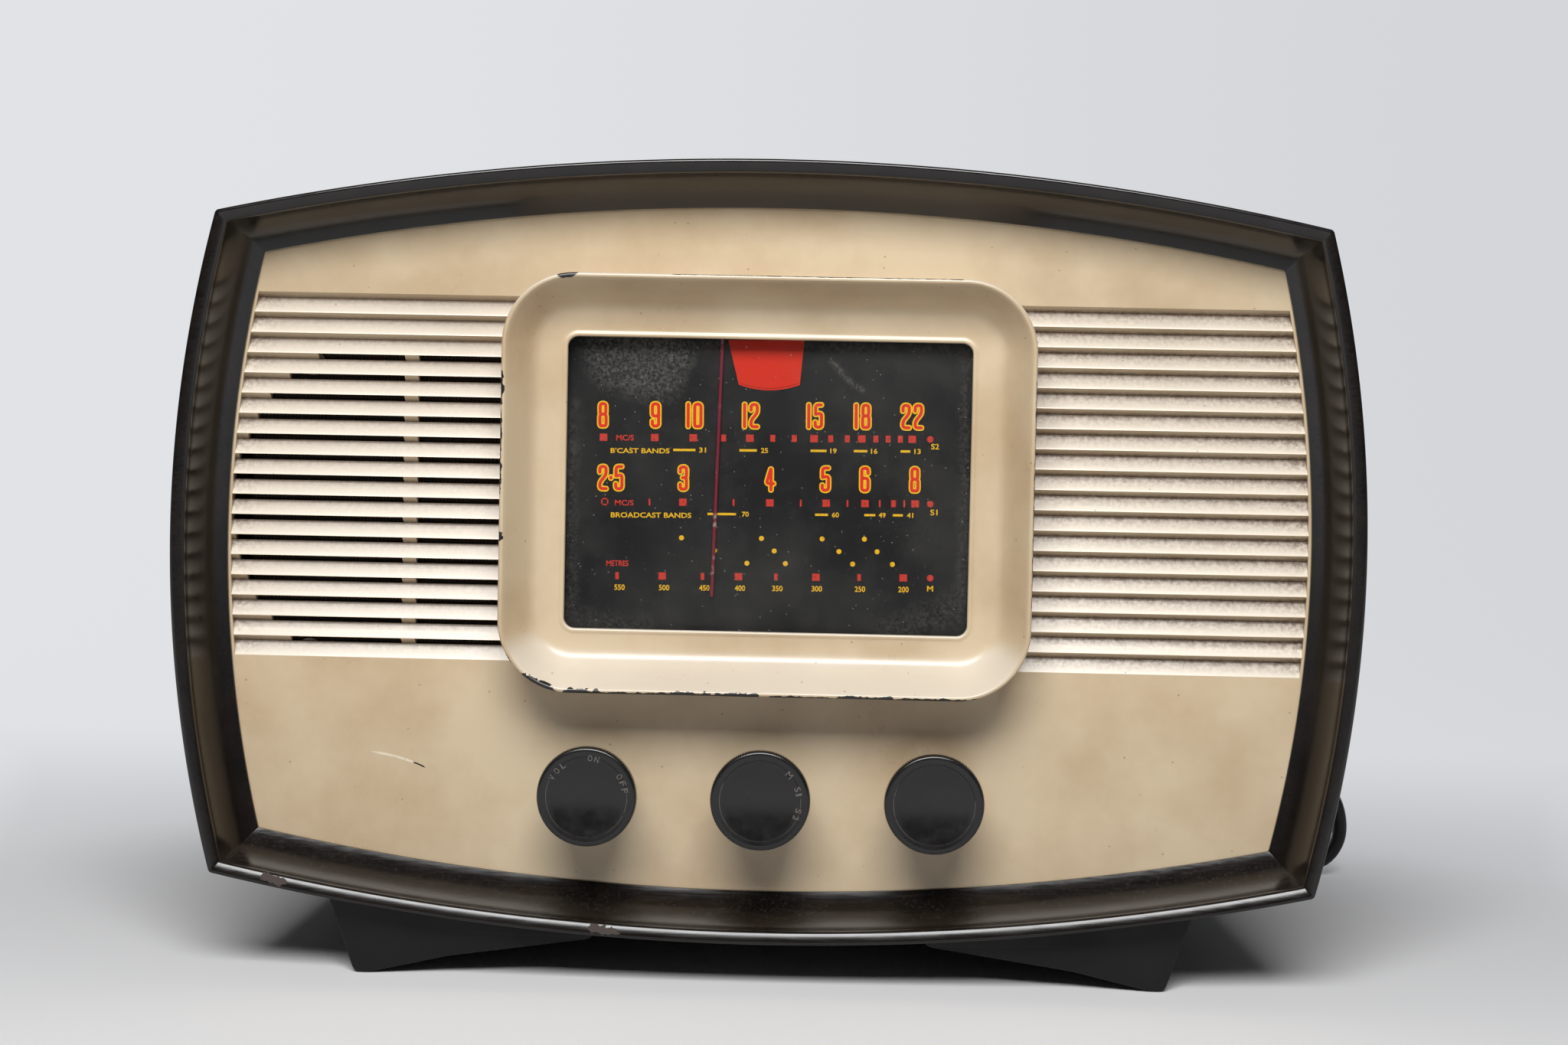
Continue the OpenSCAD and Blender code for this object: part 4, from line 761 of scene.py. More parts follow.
@dataclass(frozen=True)
class FigureInk:
    """Two screened inks of the large figures: red on a golden outline, on the black ground.

    The reaches, the width of an edge, the size of its raggedness and the ink's depth are in
    millimetres.
    """

    name: str = "two_colour_screen_ink"
    red: str = "#d8301a"
    gold: str = "#e9b820"
    ground: str = "#161617"
    red_reach: float = 0.5
    gold_reach: float = 0.93
    edge: float = 0.08
    ragged: float = 0.7
    depth: float = 0.02

    def material(self) -> bpy.types.Material:
        """Builds the inks from the distance to the stroke, in millimetres, with a slightly ragged edge.

        Returns:
            The material.
        """
        made, tree, shader, position = blank(self.name)
        ragged = add(tree, "TexNoise", {"Vector": position, "Scale": per(self.ragged), "Detail": 3.0})
        stroke_gap = add(tree, "Attribute", out="Fac", attribute_name="ink")
        gap = add(tree, "Math", {0: ragged, 1: 0.1, 2: stroke_gap}, operation="MULTIPLY_ADD")
        inner, outer = [add(tree, "MapRange", {"Value": gap, "From Min": r, "From Max": r + self.edge})
                        for r in (self.red_reach, self.gold_reach)]
        colour = add(tree, "Mix", {0: inner, 6: linear(self.red), 7: linear(self.gold)}, out=2,
                     data_type="RGBA")
        colour = add(tree, "Mix", {0: outer, 6: colour, 7: linear(self.ground)}, out=2, data_type="RGBA")
        relief = add(tree, "Bump", {"Height": outer, "Strength": 0.2, "Distance": self.depth * MM,
                                    "Filter Width": 1.0})
        feed(tree, shader, {"Base Color": colour, "Normal": relief, "Roughness": 0.5,
                            "Specular IOR Level": 0.25})
        return made


@dataclass(frozen=True)
class Glass:
    """Flat window glass: clear, with a thin film, fine dust and a few greasy smears.

    The sizes are in millimetres.
    """

    name: str = "dusty_window_glass"
    dust: str = "#b9b8b2"
    film_size: float = 30.0
    speck_spacing: float = 3.1

    def material(self) -> bpy.types.Material:
        """Builds glass that shows only its reflections, film and dust.

        Returns:
            The material.
        """
        made, tree, shader, position = blank(self.name)
        film = add(tree, "TexNoise", {"Vector": position, "Scale": per(self.film_size), "Detail": 5.0})
        veil = add(tree, "MapRange", {"Value": film, "From Min": 0.4, "From Max": 0.7, "To Min": 0.0,
                                      "To Max": 0.02})
        dot = add(tree, "TexVoronoi", {"Vector": position, "Scale": per(self.speck_spacing)}, out="Distance")
        speck = add(tree, "MapRange", {"Value": dot, "From Min": 0.04, "From Max": 0.07, "To Min": 0.55,
                                       "To Max": 0.0})
        cover = add(tree, "Math", {0: veil, 1: speck}, operation="MAXIMUM")
        feed(tree, shader, {"Alpha": cover, "Base Color": linear(self.dust), "Roughness": 0.06})
        made.surface_render_method = "BLENDED"
        return made


@dataclass(frozen=True)
class KnobBlack:
    """Black phenolic knob, polished on its face and dull with skin grease in its ribs.

    The sizes and the depth of the turning marks are in millimetres.
    """

    name: str = "black_phenolic_knob"
    body: str = "#1d1b1b"
    shade: str = "#161414"
    cloud_size: float = 5.0
    turning_size: float = 0.6
    depth: float = 0.02

    def material(self) -> bpy.types.Material:
        """Builds the knob's black with fine turning marks and handling wear.

        Returns:
            The material.
        """
        made, tree, shader, position = blank(self.name)
        cloud = add(tree, "TexNoise", {"Vector": position, "Scale": per(self.cloud_size), "Detail": 6.0,
                                       "Roughness": 0.65})
        colour = add(tree, "ValToRGB", {"Fac": cloud},
                     stops=[(0.35, linear(self.shade)), (0.7, linear(self.body))])
        fine = add(tree, "TexNoise", {"Vector": position, "Scale": per(self.turning_size), "Detail": 5.0})
        gloss = add(tree, "MapRange", {"Value": cloud, "From Min": 0.3, "From Max": 0.7, "To Min": 0.16,
                                       "To Max": 0.3})
        relief = add(tree, "Bump", {"Height": fine, "Strength": 0.12, "Distance": self.depth * MM})
        feed(tree, shader, {"Base Color": colour, "Roughness": gloss, "Normal": relief, "IOR": 1.6})
        return made


@dataclass(frozen=True)
class PointerMaroon:
    """Maroon lacquer on the wire pointer, rubbed to bare metal in patches.

    The patches' size and the lacquer's depth are in millimetres.
    """

    name: str = "rubbed_maroon_lacquer"
    lacquer: str = "#6d1c2c"
    metal: str = "#a89896"
    patch_size: float = 6.0
    depth: float = 0.05

    def material(self) -> bpy.types.Material:
        """Builds the lacquer with bright rubbed patches a few millimetres long.

        Returns:
            The material.
        """
        made, tree, shader, position = blank(self.name)
        rub = add(tree, "TexNoise", {"Vector": position, "Scale": per(self.patch_size), "Detail": 6.0,
                                     "Roughness": 0.7})
        colour = add(tree, "ValToRGB", {"Fac": rub},
                     stops=[(0.56, linear(self.lacquer)), (0.66, linear(self.metal))])
        relief = add(tree, "Bump", {"Height": rub, "Strength": 0.2, "Distance": self.depth * MM})
        feed(tree, shader, {"Base Color": colour, "Normal": relief, "Roughness": 0.4})
        return made


@dataclass(frozen=True)
class Outline:
    """The cabinet's barrel outline: each side is an arc through two corners of a rectangle."""

    half_width: float = 170.9
    half_height: float = 102.4
    side_bulge: float = 13.1
    crown_bulge: float = 18.5
    centre: float = 135.0

    @property
    def side_radius(self) -> float:
        """Radius of the left and right arcs, from chord and bulge."""
        return (self.half_height ** 2 + self.side_bulge ** 2) / (2 * self.side_bulge)

    @property
    def crown_radius(self) -> float:
        """Radius of the top and bottom arcs."""
        return (self.half_width ** 2 + self.crown_bulge ** 2) / (2 * self.crown_bulge)

    @property
    def side_centre(self) -> float:
        """X of the centre of the right-hand arc."""
        return self.half_width + self.side_bulge - self.side_radius

    @property
    def crown_centre(self) -> float:
        """Height, about the middle, of the centre of the top arc."""
        return self.half_height + self.crown_bulge - self.crown_radius

    def side_at(self, height: np.ndarray, inset: Any) -> np.ndarray:
        """Half width at a height about the middle: the circle's X there."""
        return self.side_centre + np.sqrt((self.side_radius - inset) ** 2 - np.asarray(height) ** 2)

    def crown_at(self, across: np.ndarray, inset: Any) -> np.ndarray:
        """Half height at a distance from the middle: the circle's height there."""
        return self.crown_centre + np.sqrt((self.crown_radius - inset) ** 2 - np.asarray(across) ** 2)

    def rings(self, inset: np.ndarray, fillet: np.ndarray, counts: Tuple[int, int, int]) -> np.ndarray:
        """Closed outlines at several insets, with matching columns.

        The corner's centre is where the side and crown circles of radius less inset and
        fillet cross. A quarter is the side arc, the fillet's arc and the crown arc, and
        the other three quarters mirror it.

        Args:
            inset: how far each outline lies inside the outermost.
            fillet: each outline's corner radius.
            counts: steps along the side, fillet and crown of a quarter.

        Returns:
            X and Z by outline and column, Z about the table.
        """
        d = (inset + fillet)[:, None]
        side, crown = self.side_radius - d, self.crown_radius - d
        sc, cc = self.side_centre, self.crown_centre
        gap = math.hypot(sc, cc)
        along = (side ** 2 - crown ** 2 + gap ** 2) / (2 * gap)
        off = np.sqrt(side ** 2 - along ** 2)
        ux, uz = -sc / gap, cc / gap
        cx, cz = sc + along * ux - off * uz, along * uz + off * ux
        start, end = np.arctan2(cz, cx - sc), np.arctan2(cz - cc, cx)
        t1, t2, t3 = (np.linspace(0, 1, n + 1)[None, :] for n in counts)
        a1, a2, a3 = start * t1[:, :-1], start + (end - start) * t2, end + (math.pi / 2 - end) * t3[:, 1:]
        r1, r3, f = (self.side_radius - inset)[:, None], (self.crown_radius - inset)[:, None], fillet[:, None]
        x = np.hstack([sc + r1 * np.cos(a1), cx + f * np.cos(a2), r3 * np.cos(a3)])
        z = np.hstack([r1 * np.sin(a1), cz + f * np.sin(a2), cc + r3 * np.sin(a3)])
        q = np.stack([x, z], -1)
        flip_x, flip_z = np.array([-1, 1]), np.array([1, -1])
        ring = np.concatenate([q, (q[:, ::-1] * flip_x)[:, 1:], (q * flip_x * flip_z)[:, 1:],
                               (q[:, ::-1] * flip_z)[:, 1:-1]], 1)
        return ring + np.array([0, self.centre])


OUTLINE = Outline()


@dataclass
class PhotoCamera:
    """The camera where the photograph was taken from, solved from the set's own corners."""

    place: Point = (0.01801, -0.75089, 0.16927)
    pitch: float = -0.0368391
    yaw: float = 0.0189043
    roll: float = 0.0203095
    lens: float = 49.386
    sensor: float = 36.0
    near: float = 0.05

    def build(self) -> None:
        """Makes the camera and hands it to the scene."""
        data = bpy.data.cameras.new("photo_camera")
        data.lens = self.lens
        data.sensor_fit = "HORIZONTAL"
        data.sensor_width = self.sensor
        data.clip_start = self.near
        camera = bpy.data.objects.new("photo_camera", data)
        bpy.context.scene.collection.objects.link(camera)
        camera.matrix_world = (Matrix.Translation(self.place) @ Matrix.Rotation(self.yaw, 4, "Z")
                               @ Matrix.Rotation(math.pi / 2 + self.pitch, 4, "X")
                               @ Matrix.Rotation(self.roll, 4, "Z"))
        bpy.context.scene.camera = camera


@dataclass
class MainsLead:
    """Round rubber lead: out through the back, an arc to the floor, and a tied coil with its plug."""

    diameter: float = 5.5
    route: Tuple[Point, ...] = (
        (126, 91, 47), (126, 98, 47), (126, 107, 47), (126.4, 116, 47), (129, 125, 47), (135, 132.5, 47),
        (144, 136.5, 47.5), (155, 136.5, 48.5), (167, 133, 50), (179.5, 127.5, 51.5), (191.5, 120.5, 51.5),
        (203, 114, 48.5), (213.5, 110, 43.5), (221, 108.5, 36), (225.5, 108, 26.5), (226, 108.5, 16),
        (221.5, 110.5, 7.5), (212.5, 114, 3.6), (201, 119.5, 2.8), (189, 126.5, 2.8), (177, 134, 2.8),
        (165, 142, 2.8), (153, 150, 2.8), (141, 158.5, 2.8), (129, 167, 2.8), (117, 175, 2.8),
        (105, 181.5, 2.8), (93, 185.5, 2.8), (84, 186.8, 2.8), (76.5, 187, 2.8))
    coil_start: Point = (71, 187, 2.8)
    turns: int = 7
    turn_steps: int = 24
    pitch: float = 6.2
    inner: float = 19.15
    outer: float = 40.85
    layer: float = 6.0
    tail: float = 46.0
    sample: float = 2.0
    way_out: Flat = (126, 47)
    inner_start: float = 66.0
    cover: float = 91.0
    sleeve_start: float = 88.0
    tie_width: float = 27.2
    tie_height: float = 12.2
    tie_corner: float = 4.5
    tie_thickness: float = 0.7
    plug_radius: float = 19.0
    plug_height: float = 25.0
    plug_gap: float = 4.0
    plug_ribs: int = 30
    rib_depth: float = 0.35
    collar_height: float = 8.8

    def coil(self) -> np.ndarray:
        """Flat spiral in, up one layer, and spiral out above: radius grows with the turns from the middle.

        Returns:
            Points of its centreline, in millimetres.
        """
        t = np.arange(1, self.turn_steps * self.turns) / self.turn_steps
        radius = self.inner + self.pitch * np.abs(t - self.turns / 2)
        climb = np.clip((t - self.turns / 2 + 0.25) / 0.5, 0, 1) * self.layer
        angle = math.pi / 2 + 2 * math.pi * t
        x, y, z = self.coil_start
        return np.stack([x + radius * np.cos(angle), y - self.outer + radius * np.sin(angle), z + climb], -1)

    def path(self) -> np.ndarray:
        """The whole centreline from the back cover to the plug.

        Returns:
            Points at even steps, in millimetres.
        """
        x, y, z = self.coil_start
        tail = [(x - 0.5 - k * (self.tail - 0.5) / 4, y, z + self.layer) for k in range(5)]
        points = [*self.route, (x + 0.5, y, z), *map(tuple, self.coil()), *tail]
        return smooth_route(points, self.sample)

    def tie(self) -> bpy.types.Object:
        """A waxed string tie: a flat band round both layers of the coil at its left side.

        Returns:
            The tie.
        """
        x, y = self.coil_start[:2]
        middle = x - (self.inner + self.outer) / 2
        half, top, sole = self.tie_width / 2, self.tie_height, 0.05
        corners = [(0, sole), (half, sole), (half, top), (-half, top), (-half, sole), (0, sole)]
        section = round_path(corners, self.tie_corner)
        shells = []
        for out in (0.0, self.tie_thickness):
            grown = section + out * np.sign(section) * np.array([1, 0])
            grown[:, 1] = np.where(section[:, 1] > top / 2, grown[:, 1] + out, grown[:, 1])
            shells.append(grown[:-1] + np.array([middle, 0]))
        # The band's inner face is a little wider than its outer one
        loops = [(shells[0], -1.6), (shells[1], -1.2), (shells[1], 1.2), (shells[0], 1.6)]
        skin = Skin()
        skin.sheet(np.array([stand(shell, y - self.outer + w) for shell, w in loops]), wrap=True, loop=True)
        return skin.build("coil_tie", LINE.material(), "cloth")

    def plug(self) -> bpy.types.Object:
        """Round plug: lathe with a stepped rim and ribbed grip, and the collar where the lead enters.

        Returns:
            The plug's body.
        """
        x, y, _ = self.coil_start
        centre = (x - self.tail - self.plug_radius - self.plug_gap, y, 0.0)
        r, h = self.plug_radius, self.plug_height
        profile = [(0, 0), (r - 6, 0), (r - 4.2, 0.3), (r - 1, 3.6), (r - 0.2, 5), (r, 6), (r, h - 4),
                   (r - 0.3, h - 3), (r - 1.2, h - 1), (r - 2.4, h - 0.2), (r - 3.6, h), (3.4, h),
                   (3.0, h - 0.8), (0, h - 0.8)]
        # The ribs stand between the foot's curve and the shoulder, four columns to each
        grip = np.array([0, 0, 0, 0, 0.4, 1, 1, 0.4, 0, 0, 0, 0, 0, 0])[:, None]
        columns = 4 * self.plug_ribs
        wave = 0.5 + 0.5 * np.cos(self.plug_ribs * np.linspace(0, 2 * math.pi, columns, endpoint=False))
        skin = Skin()
        skin.lathe(centre, profile, "Z", columns, -self.rib_depth * grip * wave[None, :])
        run = np.array([(0, 0), (5.15, 0), (5.15, 16), (4.9, 21), (4.0, 22.6), (2.85, 23), (2.85, 14),
                        (0, 14)])
        ring = run[:, None, :1] * circle(32)
        along = np.broadcast_to(centre[0] + run[:, 1:], ring.shape[:2])
        skin.sheet(np.stack([along, y + ring[..., 0], self.collar_height + ring[..., 1]], -1), wrap=True)
        return skin.build("mains_plug", PLUG.material(), "plug_brown", stands_for=("plug_body",))

    def inner_end(self) -> bpy.types.Object:
        """The last inch inside the cabinet, from the chassis to the back cover.

        Returns:
            That length of lead.
        """
        skin = Skin()
        r, (x, z) = self.diameter / 2, self.way_out
        start, end = self.inner_start, self.cover
        skin.lathe((x, 0, z), [(0, start), (r, start), (r, end), (0, end)], "Y", 20)
        return skin.build("lead_inside", LEAD.material(), "cord_black")

    def sleeve(self) -> bpy.types.Object:
        """Tapered rubber sleeve, ribbed so that it bends, seated in the hole of the back cover.

        Returns:
            The sleeve.
        """
        x, z = self.way_out
        top = [(2.9, -1.6), (7, -1.6), (7, 0), (5, 0.02), (5, 2.98), (7, 3), (6.9, 3.9), (6.2, 5.0),
               (4.9, 6.0)]
        ribs = [(4.75 - 0.06 * k + (0.0 if k % 2 else 0.16), 6.8 + k) for k in range(16)]
        end = [(3.4, 23.0), (2.9, 23.0), (2.9, -1.6)]
        skin = Skin()
        skin.lathe((x, self.sleeve_start, z), [*top, *ribs, *end], "Y", 36)
        return skin.build("lead_sleeve", RUBBER.material(), "rubber", stands_for=("cord_grommet",))

    def build(self) -> None:
        path = self.path() * MM
        curve = bpy.data.curves.new("mains_lead", "CURVE")
        curve.dimensions = "3D"
        curve.bevel_depth = self.diameter / 2 * MM
        curve.bevel_resolution = 3
        curve.use_fill_caps = True
        spline = curve.splines.new("POLY")
        spline.points.add(len(path) - 1)
        spline.points.foreach_set("co", np.hstack([path, np.ones((len(path), 1))]).ravel())
        curve.materials.append(LEAD.material())
        lead = bpy.data.objects.new("mains_lead", curve)
        bpy.context.scene.collection.objects.link(lead)
        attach(lead, "radio")
        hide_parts("mains_cord", "cord_coil")
        others = [self.sleeve(), self.plug(), self.tie(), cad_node("plug_pins")]
        self.inner_end()


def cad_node(name: str) -> bpy.types.Object:
    """The Blender object of a CAD node."""
    return frame["nodes"][name]


@dataclass
class Studio:
    """Seamless pale paper and one soft box, as on the photographer's table.

    The paper is in millimetres, the lamp in metres and watts.
    """

    floor: str = "#f8f8f9"
    bounce: str = "#c4c4c5"
    wall: str = "#e1e3e6"
    wall_right: str = "#d4d6da"
    sky: str = "#e6e8ea"
    half_width: float = 3000.0
    front: float = -1500.0
    flat_end: float = 900.0
    bend: float = 600.0
    height: float = 2600.0
    box_place: Point = (-0.04, -0.97, 0.93)
    box_target: Point = (0.0, -0.08, 0.13)
    box_size: Flat = (0.84, 0.48)
    box_power: float = 15.4
    sky_strength: float = 0.06
    room_strength: float = 0.9

    def paper(self) -> bpy.types.Object:
        """The paper: a flat floor that curves up behind, as a profile carried along X.

        Returns:
            The paper.
        """
        turn = np.linspace(0, math.pi / 2, 14)
        y = np.concatenate([[self.front, self.flat_end], self.flat_end + self.bend * np.sin(turn),
                            [self.flat_end + self.bend]])
        z = np.concatenate([[0, 0], self.bend - self.bend * np.cos(turn), [self.height]])
        x, y = np.meshgrid(np.linspace(-self.half_width, self.half_width, 3), y)
        grid = np.stack([x, y, np.broadcast_to(z[:, None], x.shape)], -1)
        skin = Skin()
        skin.sheet(grid)
        mesh = bpy.data.meshes.new("studio_paper")
        mesh.from_pydata(np.concatenate(skin.points) * MM, [], skin.faces[0].tolist())
        mesh.shade_smooth()
        paper = bpy.data.objects.new("studio_paper", mesh)
        bpy.context.scene.collection.objects.link(paper)
        mesh.materials.append(self.material())
        return paper

    def material(self) -> bpy.types.Material:
        """Matt paper that shows its own even tone to the camera behind and beside the set.

        Returns:
            The material.
        """
        made, tree, shader, place = blank("matt_background_paper")
        feed(tree, shader, {"Roughness": 0.9, "Specular IOR Level": 0.1})
        aside = add(tree, "MapRange", {"Value": add(tree, "SeparateXYZ", {0: place}, out="X"),
                                       "From Min": -0.7, "From Max": 0.8}, interpolation_type="SMOOTHSTEP")
        tone = add(tree, "Mix", {0: aside, 6: linear(self.wall), 7: linear(self.wall_right)}, out=2,
                   data_type="RGBA")
        glow = add(tree, "Emission", {"Color": tone, "Strength": 1.0})
        depth = add(tree, "SeparateXYZ", {0: place}, out="Y")
        behind = add(tree, "MapRange", {"Value": depth, "From Min": -0.05, "From Max": 0.5, "To Min": 0.28},
                     interpolation_type="SMOOTHSTEP")
        across = add(tree, "Math", {0: add(tree, "SeparateXYZ", {0: place}, out="X")}, operation="ABSOLUTE")
        beside = add(tree, "MapRange", {"Value": across, "From Min": 0.21, "From Max": 0.42, "To Max": 0.93},
                     interpolation_type="SMOOTHSTEP")
        # Nothing is added under the set or in its shadow
        shrunk = add(tree, "VectorMath", {0: place, 1: (5.0, 7.5, 0.0)}, operation="MULTIPLY")
        ring = add(tree, "VectorMath", {0: shrunk}, operation="LENGTH", out="Value")
        clear_of = add(tree, "MapRange", {"Value": ring, "From Min": 0.95, "From Max": 1.9},
                       interpolation_type="SMOOTHSTEP")
        away = add(tree, "Math", {0: behind, 1: beside}, operation="MAXIMUM")
        far = add(tree, "Math", {0: away, 1: clear_of}, operation="MULTIPLY")
        rays = add(tree, "LightPath", out="Is Camera Ray")
        sheet = add(tree, "Mix", {0: rays, 6: linear(self.bounce), 7: linear(self.floor)}, out=2,
                    data_type="RGBA")
        feed(tree, shader, {"Base Color": sheet})
        gloss = add(tree, "LightPath", out="Is Glossy Ray")
        clear = add(tree, "LightPath", out="Is Transmission Ray")
        seen = add(tree, "Math", {0: rays, 1: gloss}, operation="MAXIMUM")
        seen = add(tree, "Math", {0: seen, 1: clear}, operation="MAXIMUM")
        share = add(tree, "Math", {0: far, 1: seen}, operation="MULTIPLY")
        mixed = add(tree, "MixShader", {0: share, 1: shader.outputs[0], 2: glow})
        feed(tree, tree.nodes["Material Output"], {"Surface": mixed})
        return made

    def lamp(self, name: str, place: Point, target: Point, size: Flat, power: float) -> None:
        """A soft box that faces a point.

        Args:
            name: the lamp's name.
            place: where it stands, in metres.
            target: what it faces.
            size: width and height in metres.
            power: watts.
        """
        data = bpy.data.lights.new(name, "AREA")
        data.shape = "RECTANGLE"
        data.size, data.size_y = size
        data.energy = power
        lamp = bpy.data.objects.new(name, data)
        bpy.context.scene.collection.objects.link(lamp)
        run = Matrix.Translation(place).to_translation() - Matrix.Translation(target).to_translation()
        lamp.matrix_world = Matrix.Translation(place) @ run.to_track_quat("Z", "Y").to_matrix().to_4x4()

    def build(self) -> None:
        """Sets the paper, the lamp and a dim even sky."""
        self.paper()
        self.lamp("key_box", self.box_place, self.box_target, self.box_size, self.box_power)
        world = bpy.data.worlds.new("studio_air")
        bpy.context.scene.world = world
        world.use_nodes = True
        tree = world.node_tree
        back = tree.nodes["Background"]
        feed(tree, back, {"Color": linear(self.sky), "Strength": self.sky_strength})
        # Past the paper's edge the camera sees a pale room, which lights nothing
        room = add(tree, "Background", {"Color": linear(self.wall), "Strength": self.room_strength})
        seen = add(tree, "LightPath", out="Is Camera Ray")
        mixed = add(tree, "MixShader", {0: seen, 1: back.outputs[0], 2: room})
        feed(tree, tree.nodes["World Output"], {"Surface": mixed})
        bpy.context.scene.view_settings.view_transform = "Standard"


@dataclass
class Cabinet:
    """One-piece moulding: a bead that slants inward, a hollow cove round the front, and drawn walls."""

    front: float = -92.0
    rear: float = 96.0
    bead: float = 4.2
    frame: float = 13.0
    bead_depth: float = 1.91
    cove_depth: float = 16.5
    cove_turn: float = 0.98
    panel: float = -72.6
    wall: float = 3.6
    draw: float = 4.9
    corner: float = 1.6
    steps: Tuple[int, int, int] = (56, 5, 96)
    post_x: Flat = (147.4, 165.0)
    post_y: Flat = (70.0, 88.0)
    post_z: Flat = (78.9, 97.0)
    boss_x: float = 142.2
    boss_y: Flat = (-30.0, 44.0)
    boss: Tuple[Flat, ...] = ((0, 24.0), (6, 24.0), (6, 39.0), (1.7, 39.0), (1.65, 34.0), (0, 34.0))
    chips: Tuple[WornLine, ...] = (
        ((-153.6, -91.4, 31.6), (-147.6, -91.4, 29.9), 2.6),
        ((-51.8, -91.4, 18.2), (-44.0, -91.4, 17.0), 2.4))

    def profile(self) -> Tuple[np.ndarray, np.ndarray]:
        """Once round the wall's section: outer wall, bead, cove, panel seat and inner wall.

        The cove is an arc that turns by cove_turn, stretched to its width and depth.

        Returns:
            Inset and depth of each point.
        """
        nose = [(0.0, 0.9), (0.03, 0.67), (0.12, 0.45), (0.26, 0.26), (0.45, 0.12), (0.66, 0.03), (0.9, 0.0),
                (1.1, 0.015), (1.3, 0.057), (1.8, 0.207), (2.3, 0.387), (2.8, 0.596), (3.3, 0.832),
                (3.5, 0.947), (3.7, 1.092), (3.85, 1.238), (3.95, 1.366), (4.05, 1.534), (4.13, 1.712),
                (self.bead, self.bead_depth)]
        bead = np.array(nose) + np.array([0, self.front])
        b = np.linspace(0, self.cove_turn, 22)[1:]
        across = (1 - np.cos(b)) / (1 - math.cos(self.cove_turn))
        down = np.sin(b) / math.sin(self.cove_turn)
        cove = np.stack([self.bead + (self.frame - self.bead) * across,
                         self.front + self.bead_depth + self.cove_depth * down], -1)
        seat, rear, draw = self.panel, self.rear, self.draw
        inner = self.wall + draw
        run = np.array([(self.frame, seat), (10.0, seat), (self.wall + 0.46, seat), (self.wall + 1.0, -50.0),
                        (inner - 0.3, rear - 10), (inner, rear - 0.4), (inner - 0.4, rear),
                        (draw + 0.4, rear), (draw, rear - 0.4), (draw * 0.75, 50.0), (draw * 0.5, 4.0),
                        (draw * 0.25, -43.0), (draw * 0.06, -78.0)])
        both = np.concatenate([bead, cove, run])
        return both[:, 0], both[:, 1]

    def build(self) -> None:
        """Sweeps the profile round the barrel outline and adds the posts and screw bosses inside."""
        inset, depth = self.profile()
        soft = np.clip(self.corner - inset * 0.5, 0.12, None)
        soft = np.where((depth > self.panel - 0.5) & (inset > 3), 0.5, soft)
        ring = OUTLINE.rings(inset, soft, self.steps)
        grid = np.stack([ring[..., 0], np.broadcast_to(depth[:, None], ring.shape[:2]), ring[..., 1]], -1)
        skin = Skin()
        skin.sheet(grid, wrap=True, loop=True)
        for sx in (-1, 1):
            for sz in (-1, 1):
                x = sorted(sx * end for end in self.post_x)
                z = sorted(OUTLINE.centre + sz * end for end in self.post_z)
                skin.post(*zip(x, self.post_y, z))
            for y in self.boss_y:
                skin.lathe((sx * self.boss_x, y, 0), self.boss, "Z", 28)
        shell = skin.build("cabinet_shell", BrownPhenolic().material(), "bakelite", stands_for=("cabinet",),
                           crease=30)
        mark(shell, "wear", near_lines(places(shell), self.chips))
        LOG.info("cabinet: %d faces", len(shell.data.polygons))


